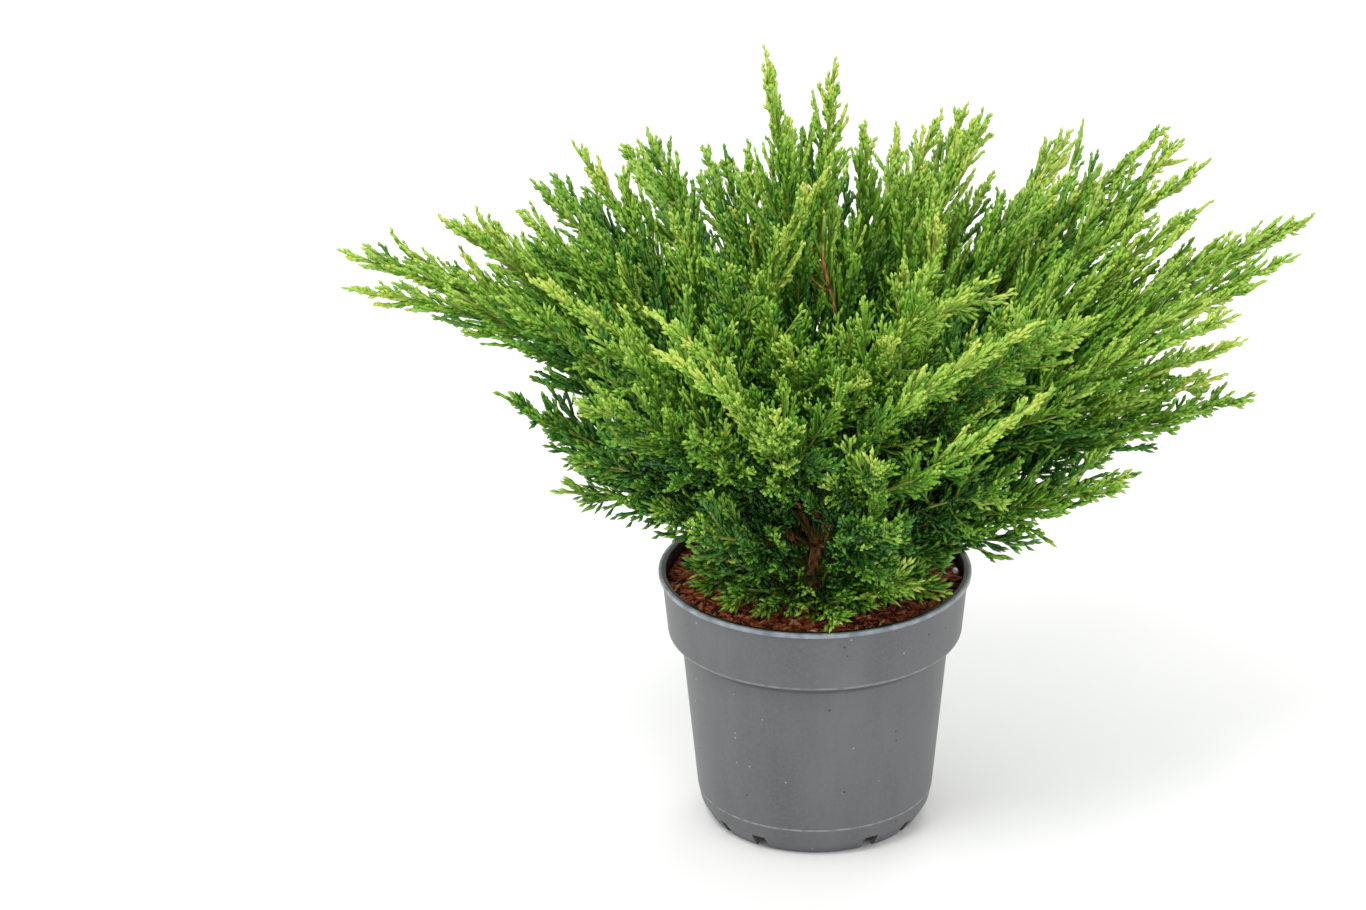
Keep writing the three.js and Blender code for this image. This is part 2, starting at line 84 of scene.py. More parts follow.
def pathLength(points):
    return float(np.linalg.norm(np.diff(points, axis=0), axis=1).sum())


def onPath(points, shares):
    # places and directions at shares of an even path's length
    places = np.linspace(0.0, 1.0, len(points))
    slopes = unit(np.gradient(points, axis=0))
    return sampled(shares, places, points), unit(sampled(shares, places, slopes))


def meshFromArrays(name, vertices, corners, sizes):
    # sizes gives each face's number of corners
    mesh = bpy.data.meshes.new(name)
    mesh.vertices.add(len(vertices))
    mesh.vertices.foreach_set("co", np.ascontiguousarray(vertices, dtype=np.float32).ravel())
    mesh.loops.add(len(corners))
    mesh.loops.foreach_set("vertex_index", np.ascontiguousarray(corners, dtype=np.int32))
    mesh.polygons.add(len(sizes))
    starts = np.concatenate([[0], np.cumsum(sizes)[:-1]]).astype(np.int32)
    mesh.polygons.foreach_set("loop_start", starts)
    mesh.polygons.foreach_set("loop_total", np.asarray(sizes, dtype=np.int32))
    shadeSmooth(mesh)
    mesh.update(calc_edges=True)
    return mesh


def meshFromLists(name, vertices, faces):
    mesh = bpy.data.meshes.new(name)
    mesh.from_pydata(vertices, [], faces)
    mesh.update()
    return mesh


def shadeSmooth(mesh):
    mesh.polygons.foreach_set("use_smooth", np.ones(len(mesh.polygons), dtype=bool))


def addObject(name, data):
    item = bpy.data.objects.new(name, data)
    bpy.context.scene.collection.objects.link(item)
    return item


def plainMesh(item):
    # what an object's modifiers make of it
    return bpy.data.meshes.new_from_object(item.evaluated_get(bpy.context.evaluated_depsgraph_get()))


def addPiece(name, mesh, material, nodes):
    # a mesh that has its materials already is given None
    piece = addObject(name, mesh)
    if material is not None:
        mesh.materials.clear()
        mesh.materials.append(material)
    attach(piece, "root")
    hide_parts(*nodes)


def ringFaces(count, rings, sides, hasPoint):
    # faces of count closed spindles, each a stack of rings that ends in a point or a flat end
    top, last = (rings - 1) * sides, rings * sides
    faces = []
    for low, side in product(range(0, top, sides), range(sides)):
        after = (side + 1) % sides
        faces.append([low + side, low + after, low + sides + after, low + sides + side])
    faces.append(list(range(sides))[::-1])
    if hasPoint:
        faces += [[top + side, top + (side + 1) % sides, last] for side in range(sides)]
    else:
        faces.append(list(range(top, last)))
    starts = np.arange(count)[:, None] * (last + int(hasPoint))
    return (starts + np.concatenate(faces)).ravel(), np.tile([len(face) for face in faces], count)


def bentRing(roots, directions, normals, bends, lengths, radii, place, sides):
    # the corners round bent cords at a share of their lengths
    across = np.cross(normals, directions)
    middle = roots + directions * (lengths * place)[:, None] + bends * (lengths * place * place)[:, None]
    angles = np.linspace(0.0, 2 * math.pi, sides, endpoint=False)
    return [middle + (across * math.cos(a) + normals * math.sin(a)) * radii[:, None] for a in angles]


def spindles(roots, directions, normals, bends, lengths, radii, places, widths, sides):
    # pointed cords: a place along the cord and a share of the radius for each ring, then the tip
    rows = []
    for place, width in zip(places, widths):
        rows += bentRing(roots, directions, normals, bends, lengths, radii * width, place, sides)
    rows.append(roots + (directions + bends) * lengths[:, None])
    corners, sizes = ringFaces(len(roots), len(places), sides, True)
    return np.stack(rows, axis=1).reshape(-1, 3), corners, sizes


def buds(roots, directions, normals, bends, lengths, radii, place):
    # three-sided leaves, pointed at both ends and widest at one place along them
    rows = [roots, *bentRing(roots, directions, normals, bends, lengths, radii, place, 3)]
    rows.append(roots + (directions + bends) * lengths[:, None])
    faces = np.array([(0, 2, 1), (0, 3, 2), (0, 1, 3), (1, 2, 4), (2, 3, 4), (3, 1, 4)])
    corners = np.arange(len(roots))[:, None] * len(rows) + faces.ravel()
    return np.stack(rows, axis=1).reshape(-1, 3), corners.ravel(), np.full(len(roots) * len(faces), 3)


def tubes(paths, radii, sides):
    # closed tubes with flat ends: paths is (count, rings, 3), radii (count, rings) or (count, rings, sides)
    count, rings = paths.shape[:2]
    along = unit(np.gradient(paths, axis=1))
    chord = unit(paths[:, -1] - paths[:, 0])
    isUpright = np.abs(chord[:, 2:3]) > 0.999
    level = np.where(isUpright, np.array([1.0, 0.0, 0.0]), np.cross(chord, np.array([0.0, 0.0, 1.0])))
    across = squareTo(np.repeat(level[:, None], rings, axis=1), along)
    other = np.cross(along, across)
    angles = np.linspace(0.0, 2 * math.pi, sides, endpoint=False)
    if radii.ndim == 2:
        radii = np.repeat(radii[:, :, None], sides, axis=2)
    out = across[:, :, None] * np.cos(angles)[None, None, :, None]
    out = out + other[:, :, None] * np.sin(angles)[None, None, :, None]
    vertices = (paths[:, :, None] + out * radii[..., None]).reshape(-1, 3)
    return vertices, *ringFaces(count, rings, sides, False)


def joined(parts):
    # several (vertices, corners, sizes) as one
    starts = np.cumsum([0] + [len(vertices) for vertices, corners, sizes in parts])
    corners = [part[1] + start for part, start in zip(parts, starts)]
    vertices, sizes = ([part[i] for part in parts] for i in (0, 2))
    return np.concatenate(vertices), np.concatenate(corners), np.concatenate(sizes)


# Nodes, and the shader groups that several finishes share

def addNode(tree, kind, fed=None, **settings):
    # a node whose sockets are each fed a value or another node's output
    node = tree.nodes.new(kind)
    for key, value in settings.items():
        setattr(node, key, value)
    for label, source in (fed or {}).items():
        if isinstance(source, bpy.types.NodeSocket):
            tree.links.new(source, node.inputs[label])
        else:
            node.inputs[label].default_value = source
    return node


def maths(tree, operation, *values):
    return addNode(tree, "ShaderNodeMath", dict(enumerate(values)), operation=operation).outputs[0]


def objectPlaces(tree):
    return addNode(tree, "ShaderNodeTexCoord").outputs["Object"]


def addSockets(tree, inputs, outputs):
    # the sockets of a group, each with its kind and, for an input, the value it starts from
    for label, (kind, *value) in inputs.items():
        socket = tree.interface.new_socket(label, in_out="INPUT", socket_type="NodeSocket" + kind)
        if value:
            socket.default_value = value[0]
    for label, kind in outputs.items():
        tree.interface.new_socket(label, in_out="OUTPUT", socket_type="NodeSocket" + kind)
    return tree.nodes.new("NodeGroupInput").outputs


def grainGroup():
    # fine and coarse unevenness as one mask, and a normal bumped by it
    group = bpy.data.node_groups.new("surfaceGrain", "ShaderNodeTree")
    given = addSockets(group, {
        "Scale": ("Float", 200.0), "Stretch": ("Vector", (1.0, 1.0, 1.0)), "Detail": ("Float", 4.0),
        "Height": ("Float", 0.3), "Distance": ("Float", 0.001),
    }, {"Mask": "Float", "Normal": "Vector"})
    places = objectPlaces(group)
    stretched = addNode(group, "ShaderNodeVectorMath", {0: places, 1: given["Stretch"]}, operation="MULTIPLY")
    pattern = addNode(group, "ShaderNodeTexNoise", {
        "Vector": stretched.outputs[0], "Scale": given["Scale"], "Detail": given["Detail"],
    }).outputs["Fac"]
    bump = addNode(group, "ShaderNodeBump", {
        "Height": pattern, "Strength": given["Height"], "Distance": given["Distance"],
    })
    addNode(group, "NodeGroupOutput", {"Mask": pattern, "Normal": bump.outputs["Normal"]})
    return group


def speckGroup():
    # small scattered spots, 0 between them and 1 on them; the share Left Out of the cells has none
    group = bpy.data.node_groups.new("specks", "ShaderNodeTree")
    given = addSockets(group, {
        "Scale": ("Float", 120.0), "Size": ("Float", 0.12), "Left Out": ("Float", 0.72),
    }, {"Mask": "Float"})
    cells = addNode(group, "ShaderNodeTexVoronoi", {"Vector": objectPlaces(group), "Scale": given["Scale"]})
    isNear = maths(group, "LESS_THAN", cells.outputs["Distance"], given["Size"])
    lot = addNode(group, "ShaderNodeSeparateColor", {"Color": cells.outputs["Color"]}).outputs["Red"]
    isChosen = maths(group, "GREATER_THAN", lot, given["Left Out"])
    addNode(group, "NodeGroupOutput", {"Mask": maths(group, "MULTIPLY", isNear, isChosen)})
    return group


def bandGroup():
    # a level line round the pot for the painted shade and painted highlights, broken up by noise: 1 on it and
    # 0 away from it
    group = bpy.data.node_groups.new("levelBand", "ShaderNodeTree")
    given = addSockets(group, {
        "Height": ("Float", 0.0), "Half Width": ("Float", 0.0005), "Gaps": ("Float", 0.4),
    }, {"Mask": "Float"})
    places = objectPlaces(group)
    level = addNode(group, "ShaderNodeSeparateXYZ", {0: places}).outputs["Z"]
    away = maths(group, "ABSOLUTE", maths(group, "SUBTRACT", level, given["Height"]))
    share = maths(group, "DIVIDE", away, given["Half Width"])
    fade = addNode(group, "ShaderNodeMapRange", {"Value": share, "From Min": 1.0, "From Max": 0.3})
    patchiness = addNode(group, "ShaderNodeTexNoise", {"Vector": places, "Scale": 260.0}).outputs["Fac"]
    broken = addNode(group, "ShaderNodeMapRange", {"Value": patchiness, "From Min": given["Gaps"], "From Max": 0.6})
    mask = maths(group, "MULTIPLY", fade.outputs["Result"], broken.outputs["Result"])
    addNode(group, "NodeGroupOutput", {"Mask": mask})
    return group


surfaceGrain, specks, levelBand = grainGroup(), speckGroup(), bandGroup()


def linear(red, green, blue):
    # an sRGB colour, 0 to 255, as the shader's linear one
    values = [channel / 255 for channel in (red, green, blue)]
    return [v / 12.92 if v <= 0.04045 else ((v + 0.055) / 1.055) ** 2.4 for v in values] + [1.0]


def newMaterial(name, roughness, specular):
    material = bpy.data.materials.new(name)
    material.use_nodes = True
    shader = material.node_tree.nodes["Principled BSDF"].inputs
    shader["Roughness"].default_value = roughness
    shader["Specular IOR Level"].default_value = specular
    return material, material.node_tree, shader


def placed(tree, group, values):
    # a shared group set into a tree, and its outputs
    return addNode(tree, "ShaderNodeGroup", values, node_tree=group).outputs


def colourRamp(tree, mask, stops):
    ramp = addNode(tree, "ShaderNodeValToRGB", {"Fac": mask})
    elements = ramp.color_ramp.elements
    while len(elements) < len(stops):
        elements.new(0.5)
    for element, (place, colour) in zip(elements, stops):
        element.position = place
        element.color = linear(*colour)
    return ramp.outputs["Color"]


def spread(tree, mask, low, high):
    # a mask, 0 to 1, turned to values from low to high
    change = addNode(tree, "ShaderNodeMapRange", {"Value": mask, "To Min": low, "To Max": high})
    return change.outputs["Result"]


def grained(name, roughness, specular, grain, colours, roughSpread=None):
    # a finish bumped by a grain, in one plain colour or in (place in the grain, colour) stops
    material, tree, shader = newMaterial(name, roughness, specular)
    pattern = placed(tree, surfaceGrain, grain)
    if isinstance(colours, list):
        tree.links.new(colourRamp(tree, pattern["Mask"], colours), shader["Base Color"])
    else:
        shader["Base Color"].default_value = linear(*colours)
    if roughSpread:
        tree.links.new(spread(tree, pattern["Mask"], *roughSpread), shader["Roughness"])
    tree.links.new(pattern["Normal"], shader["Normal"])
    return material


# Camera, lights and floor

camera = {
    "distance": 3.0,
    "pitch": 23.66,  # degrees below the horizon
    "targetHeight": 0.2014,
    "focalPixels": 5853,
    "centreX": 815,  # pixel of the picture's width that the plant's axis falls on
    "imageWidth": 1366,
    "sensor": 36.0,
    "farthest": 50,
}

studio = {
    "floorSize": 14.0,
    "floorColour": (246, 246, 245),
    "worldStrength": 1.0,
    "lights": [
        {"name": "keyLight", "place": (-0.9, -1.2, 2.7), "size": 1.1, "power": 36.0},
        {"name": "fillLight", "place": (1.9, -1.6, 1.2), "size": 1.8, "power": 6.0},
        {"name": "backLight", "place": (0.7, 1.9, 2.0), "size": 1.4, "power": 12.0},
    ],
}


def makeCamera():
    c = camera
    data = bpy.data.cameras.new("photoCamera")
    data.sensor_width = c["sensor"]
    data.lens = c["sensor"] * c["focalPixels"] / c["imageWidth"]
    data.shift_x = (c["imageWidth"] / 2 - c["centreX"]) / c["imageWidth"]
    data.dof.use_dof = False
    data.clip_end = c["farthest"]
    pitch = math.radians(c["pitch"])
    holder = addObject("photoCamera", data)
    back = c["distance"] * math.cos(pitch)
    holder.location = (0.0, -back, c["targetHeight"] + c["distance"] * math.sin(pitch))
    holder.rotation_euler = (math.pi / 2 - pitch, 0.0, 0.0)
    bpy.context.scene.camera = holder


def makeLight(light):
    data = bpy.data.lights.new(light["name"], "AREA")
    data.shape = "DISK"
    data.size = light["size"]
    data.energy = light["power"]
    lamp = addObject(light["name"], data)
    lamp.location = light["place"]
    aim = Vector((0.0, 0.0, camera["targetHeight"])) - Vector(light["place"])
    lamp.rotation_euler = aim.to_track_quat("-Z", "Y").to_euler()


def makeStage():
    half = studio["floorSize"] / 2
    corners = [(-half, -half, 0), (half, -half, 0), (half, half, 0), (-half, half, 0)]
    floor = addObject("floor", meshFromLists("floor", corners, [(0, 1, 2, 3)]))
    material, tree, shader = newMaterial("paleFloor", 0.7, 0.2)
    shader["Base Color"].default_value = linear(*studio["floorColour"])
    floor.data.materials.append(material)
    world = bpy.data.worlds.new("softWhite")
    world.use_nodes = True
    background = world.node_tree.nodes["Background"].inputs
    background["Color"].default_value = (1.0, 1.0, 1.0, 1.0)
    background["Strength"].default_value = studio["worldStrength"]
    bpy.context.scene.world = world
    for light in studio["lights"]:
        makeLight(light)
    bpy.context.scene.view_settings.view_transform = "Standard"


makeCamera()
makeStage()
print("camera and stage made")


# Pot

potSizes = {
    "height": 0.138,
    "wall": 0.002,
    "lipRadius": 0.081,
    "lipHeight": 0.0026,
    "collarTop": 0.0792,
    "collarBottom": 0.076,
    "collarBottomHeight": 0.1036,
    "ledgeSlope": 0.0024,
    "bodyTop": 0.0694,
    "seamRadius": 0.0612,
    "seamHeight": 0.0165,
    "seamDepth": 0.00025,
    "heelRadius": 0.0598,
    "heelHeight": 0.0092,
    "footRadius": 0.0536,
    "footWidth": 0.0024,
    "bossRadius": 0.024,
    "bossSlope": 0.004,
    "segments": 144,
    "curveSteps": 4,  # short straight lines in each rounded corner
    "skin": 0.0016,  # how far in the grey skin of the lip reaches before the black inside
    "sharpest": 32,  # degrees between faces that are still shaded as one
    "blackFrom": 0.0016,  # height above which the inside is black
    "lipMargin": 0.0002,
    "singleSlots": (60, 120, 240, 300),
    "pairedSlots": (30, 150, 210, 330),
    "pairSpread": 5.5,
    "slotWidth": 0.0055,
    "singleWidth": 0.008,
    "slotDepth": 0.016,
}


def roundedProfile(corners, steps):
    # corners are (radius, height, rounding); each is replaced by a short curve
    points = []
    for i, (radius, height, rounding) in enumerate(corners):
        here = np.array([radius, height])
        if rounding == 0 or i in (0, len(corners) - 1):
            points.append(here)
            continue
        before = np.array(corners[i - 1][:2]) - here
        after = np.array(corners[i + 1][:2]) - here
        reach = min(rounding, 0.45 * np.linalg.norm(before), 0.45 * np.linalg.norm(after))
        start = here + before / np.linalg.norm(before) * reach
        end = here + after / np.linalg.norm(after) * reach
        for t in np.arange(steps + 1) / steps:
            points.append((1 - t) ** 2 * start + 2 * t * (1 - t) * here + t * t * end)
    return np.array(points)


def lathe(name, profile, segments):
    # profile runs from the axis to the axis, outside first from below
    angles = np.linspace(0.0, 2 * math.pi, segments, endpoint=False)
    vertices = [(0.0, 0.0, profile[0][1])]
    for radius, height in profile[1:-1]:
        vertices += [(radius * math.cos(a), radius * math.sin(a), height) for a in angles]
    vertices.append((0.0, 0.0, profile[-1][1]))
    last = len(vertices) - 1
    top = last - segments
    pairs = [(s, (s + 1) % segments) for s in range(segments)]
    faces = [(0, 1 + after, 1 + s) for s, after in pairs]
    for low in range(1, top, segments):
        high = low + segments
        faces += [(low + s, low + after, high + after, high + s) for s, after in pairs]
    faces += [(top + s, top + after, last) for s, after in pairs]
    return meshFromLists(name, vertices, faces)


def potCorners():
    # radius, height and rounding of each corner, from the middle of the underside to that of the floor
    p = potSizes
    lipUnder = p["height"] - p["lipHeight"]
    floorTop = p["heelHeight"] + p["wall"]
    seamInside = p["seamRadius"] - p["wall"]
    ledge, seam, groove = p["collarBottomHeight"], p["seamHeight"], p["seamDepth"]
    return [
        (0.0, 0.0, 0.0),
        (p["bossRadius"], 0.0, 0.0012),
        (p["bossRadius"] + p["bossSlope"], p["heelHeight"], 0.002),
        (p["heelRadius"] - p["footWidth"], p["heelHeight"], 0.001),
        (p["footRadius"] - p["footWidth"], 0.0, 0.0005),
        (p["footRadius"], 0.0, 0.0009),
        (p["heelRadius"], p["heelHeight"], 0.0014),
        (p["seamRadius"], seam - groove * 2, 0.0002),
        (p["seamRadius"] - groove, seam, 0.0),
        (p["seamRadius"] + groove, seam + groove * 2, 0.0002),
        (p["bodyTop"], ledge - p["ledgeSlope"], 0.0016),
        (p["collarBottom"] - 0.0006, ledge, 0.0012),
        (p["collarBottom"] + 0.0002, ledge + 0.0014, 0.0008),
        (p["collarTop"], lipUnder, 0.0007),
        (p["lipRadius"], lipUnder, 0.0006),
        (p["lipRadius"], p["height"], 0.0010),
        (p["lipRadius"] - p["skin"], p["height"] - 0.0001, 0.0002),
        (p["collarTop"] - p["wall"], p["height"], 0.0008),
        (p["collarBottom"] - p["wall"], ledge + p["wall"], 0.0015),
        (p["bodyTop"] - p["wall"], ledge + p["wall"] - p["ledgeSlope"], 0.0015),
        (seamInside, seam, 0.001),
        (seamInside - p["wall"], floorTop, 0.001),
        (p["bossRadius"] + p["bossSlope"] - p["wall"], floorTop, 0.001),
        (p["bossRadius"] - p["wall"], p["wall"], 0.001),
        (0.0, p["wall"], 0.0),
    ]


def slotCutters():
    # boxes that cut the drain slots up through the heel
    p = potSizes
    over = 0.001
    cuts = [(angle, p["singleWidth"]) for angle in p["singleSlots"]]
    for angle in p["pairedSlots"]:
        cuts += [(angle + side * p["pairSpread"], p["slotWidth"]) for side in (-1, 1)]
    box = [(0, 1, 3, 2), (4, 6, 7, 5), (0, 4, 5, 1), (2, 3, 7, 6), (0, 2, 6, 4), (1, 5, 7, 3)]
    vertices, faces = [], []
    for angle, width in cuts:
        turn = math.radians(angle)
        faces += [tuple(len(vertices) + corner for corner in face) for face in box]
        for along, side, height in product((-0.5, 0.5), (-0.5, 0.5), (-over, p["heelHeight"] - over)):
            out = p["footRadius"] + over + along * p["slotDepth"]
            x = out * math.cos(turn) - side * width * math.sin(turn)
            y = out * math.sin(turn) + side * width * math.cos(turn)
            vertices.append((x, y, height))
    return addObject("slotCutters", meshFromLists("slotCutters", vertices, faces))


def greyPlastic():
    material, tree, shader = newMaterial("greyPlastic", 0.46, 0.42)
    grain = placed(tree, surfaceGrain, {"Scale": 900.0, "Detail": 3.0, "Height": 0.12, "Distance": 0.0004})
    mottle = placed(tree, surfaceGrain, {"Scale": 38.0, "Stretch": (1.0, 1.0, 0.25), "Detail": 5.0})["Mask"]
    fine = placed(tree, surfaceGrain, {"Scale": 620.0, "Detail": 6.0})["Mask"]
    ledge, seam = potSizes["collarBottomHeight"], potSizes["seamHeight"]
    # painted shade just under the collar's ledge; a painted highlight along the collar's lower edge and
    # another along the mould seam
    shadow = {"Height": ledge - 0.0028, "Half Width": 0.0026, "Gaps": -1.0}
    edge = {"Height": ledge + 0.0012, "Half Width": 0.0008, "Gaps": 0.2}
    seamHighlight = {"Height": seam, "Half Width": 0.0007, "Gaps": 0.22}
    body = colourRamp(tree, mottle, [(0.30, (85, 86, 88)), (0.52, (94, 95, 97)), (0.75, (104, 105, 107))])
    layers = [
        (spread(tree, fine, -0.5, 0.8), (106, 107, 109)),
        (placed(tree, specks, {"Scale": 150.0, "Size": 0.085})["Mask"], (150, 152, 154)),
        (placed(tree, specks, {"Scale": 118.0, "Size": 0.075})["Mask"], (52, 53, 55)),
        # the painted shade under the ledge, then the painted highlights on the collar's edge and on the seam
        (placed(tree, levelBand, shadow)["Mask"], (66, 68, 70)),
        (placed(tree, levelBand, edge)["Mask"], (132, 134, 137)),
        (placed(tree, levelBand, seamHighlight)["Mask"], (152, 154, 155)),
    ]
    for mask, colour in layers:
        mix = addNode(tree, "ShaderNodeMix", {"Factor": mask, 6: body, 7: linear(*colour)}, data_type="RGBA")
        body = mix.outputs[2]
    tree.links.new(body, shader["Base Color"])
    tree.links.new(spread(tree, mottle, 0.38, 0.56), shader["Roughness"])
    tree.links.new(grain["Normal"], shader["Normal"])
    return material


def blackPlastic():
    grain = {"Scale": 400.0, "Stretch": (1.0, 1.0, 0.4), "Detail": 4.0, "Height": 0.15, "Distance": 0.0005}
    return grained("blackPlastic", 0.4, 0.4, grain, [(0.3, (17, 18, 20)), (0.7, (30, 31, 33))], (0.3, 0.5))


# the lip's plastic, lighter and bluer than the body as a painted highlight
def lipPlastic():
    grain = {"Scale": 160.0, "Detail": 5.0, "Height": 0.1, "Distance": 0.0004}
    return grained("lipPlastic", 0.34, 0.5, grain, [(0.35, (112, 118, 126)), (0.65, (150, 157, 166))])


def makePot():
    p = potSizes
    mesh = lathe("potBlank", roundedProfile(potCorners(), p["curveSteps"]), p["segments"])
    for material in (greyPlastic(), blackPlastic(), lipPlastic()):
        mesh.materials.append(material)
    innerRadius = p["lipRadius"] - p["skin"]
    for face in mesh.polygons:
        middle = face.center
        radius = math.hypot(middle.x, middle.y)
        isInward = middle.x * face.normal.x + middle.y * face.normal.y < 0 or face.normal.z > 0.7
        if isInward and radius < innerRadius and middle.z > p["blackFrom"]:
            face.material_index = 1
        # the lip's top and outside take the painted highlight
        elif middle.z > p["height"] - p["lipHeight"] - p["lipMargin"]:
            face.material_index = 2
    blank, cutters = addObject("potBlank", mesh), slotCutters()
    cut = blank.modifiers.new("slots", "BOOLEAN")
    cut.operation = "DIFFERENCE"
    cut.solver = "EXACT"
    cut.object = cutters
    pot = plainMesh(blank)
    bpy.data.objects.remove(blank)
    bpy.data.objects.remove(cutters)
    pot.name = "nurseryPot"
    shadeSmooth(pot)
    pot.set_sharp_from_angle(angle=math.radians(p["sharpest"]))
    addPiece("nurseryPot", pot, None, ["pot"])


makePot()
print("pot made")


# Mulch

mulchSizes = {
    "top": 0.1322,
    "edge": 0.1298,
    "unevenness": 0.0022,
    "coarseLumps": 120,
    "fineLumps": 330,
    "fineShare": 0.6,
    "lumpyFrom": 0.0005,  # how far below the edge's height the uneven part starts
    "edgeWidth": 0.006,  # the strip along the wall that is less uneven
    "edgeShare": 0.3,  # how uneven it is at the wall, beside the middle
    "wallGap": 0.0006,
    "chipsFrom": 0.0004,  # how far below the edge's height chips still lie
    "chipsPast": 0.0002,  # how far past the fill's rim they may reach
    "rings": 34,
    "segments": 120,
    "fill": [(26, 13, 9), (58, 28, 17), (92, 46, 29)],
    "seed": 5,
}

chipKinds = [
    {"name": "darkShreds", "count": 1500, "length": 0.0085, "width": 0.0010, "least": 0.5, "most": 1.6,
     "tilt": 0.5, "colours": [(36, 18, 12), (72, 34, 21), (104, 52, 33)]},
    {"name": "redShreds", "count": 2600, "length": 0.0085, "width": 0.0010, "least": 0.4, "most": 1.6,
     "tilt": 0.5, "colours": [(104, 46, 26), (156, 74, 44), (196, 108, 68)]},
    {"name": "barkFlakes", "count": 700, "length": 0.0075, "width": 0.0026, "least": 0.4, "most": 1.5,
     "tilt": 0.45, "colours": [(112, 54, 32), (172, 90, 52), (212, 128, 82)]},
    {"name": "paleSplinters", "count": 430, "length": 0.0110, "width": 0.0009, "least": 0.4, "most": 1.6,
     "tilt": 0.35, "colours": [(176, 100, 60), (212, 144, 96), (228, 184, 142)]},
]

chipShape = {
    "rings": 4,
    "bow": 0.10,
    "ends": 0.35,
    "thickness": 0.35,
    "raggedness": 0.16,
}


def mulchMaterial(name, colours):
    grain = {"Scale": 300.0, "Detail": 6.0, "Height": 0.6, "Distance": 0.0012}
    return grained(name, 0.85, 0.25, grain, list(zip((0.32, 0.5, 0.68), colours)), (0.7, 0.95))


def mulchBody():
    p, m = potSizes, mulchSizes
    gap = p["wall"] + m["wallGap"]
    ledge = p["collarBottomHeight"] + gap
    share = (m["edge"] - ledge) / (p["height"] - ledge)
    edgeRadius = p["collarBottom"] + (p["collarTop"] - p["collarBottom"]) * share - gap
    sides = [
        (0.0, gap),
        (p["bossRadius"] - gap, gap),
        (p["bossRadius"] + p["bossSlope"] - gap, p["heelHeight"] + gap),
        (p["seamRadius"] - p["wall"] - gap, p["heelHeight"] + gap),
        (p["seamRadius"] - gap, p["seamHeight"]),
        (p["bodyTop"] - gap, ledge - p["ledgeSlope"]),
        (p["collarBottom"] - gap, ledge),
    ]
    top = []
    for ring in range(m["rings"] + 1):
        inward = ring / m["rings"]
        height = m["edge"] + (m["top"] - m["edge"]) * math.sin(inward * math.pi / 2)
        top.append((edgeRadius * (1 - inward), height))
    mesh = lathe("mulchFill", np.array(sides + top), m["segments"])
    for vertex in mesh.vertices:
        place = vertex.co
        if place.z > m["edge"] - m["lumpyFrom"]:
            fine = m["fineShare"] * noise.noise(place * m["fineLumps"])
            lump = noise.noise(place * m["coarseLumps"]) + fine
            inside = min(1.0, (edgeRadius - math.hypot(place.x, place.y)) / m["edgeWidth"])
            calm = m["edgeShare"] + (1 - m["edgeShare"]) * max(inside, 0.0)
            place.z += m["unevenness"] * lump * calm
    shadeSmooth(mesh)
    return mesh, edgeRadius


def chipObject(kind, seed):
    # a short split piece, thicker in its middle, with ragged ends
    random = np.random.default_rng(seed)
    length, width, rings = kind["length"], kind["width"], chipShape["rings"]
    thickness = chipShape["thickness"]
    vertices, faces = [], [(3, 2, 1, 0)]
    for ring in range(rings):
        along = ring / (rings - 1)
        bow = chipShape["bow"] * length * (1 - (2 * along - 1) ** 2)
        narrow = chipShape["ends"] if ring in (0, rings - 1) else 1.0
        for side, up in ((-1, -thickness), (1, -thickness), (1, thickness), (-1, thickness)):
            corner = ((along - 0.5) * length, side * width / 2 * narrow, up * width * narrow + bow)
            jitter = random.uniform(-chipShape["raggedness"], chipShape["raggedness"], 3) * width
            vertices.append(np.array(corner) + jitter)
    for low, side in product(range(0, rings * 4 - 4, 4), range(4)):
        after = (side + 1) % 4
        faces.append((low + side, low + after, low + after + 4, low + side + 4))
    faces.append(tuple(range(rings * 4 - 4, rings * 4)))
    return addObject(kind["name"] + "Chip", meshFromLists(kind["name"] + "Chip", vertices, faces))


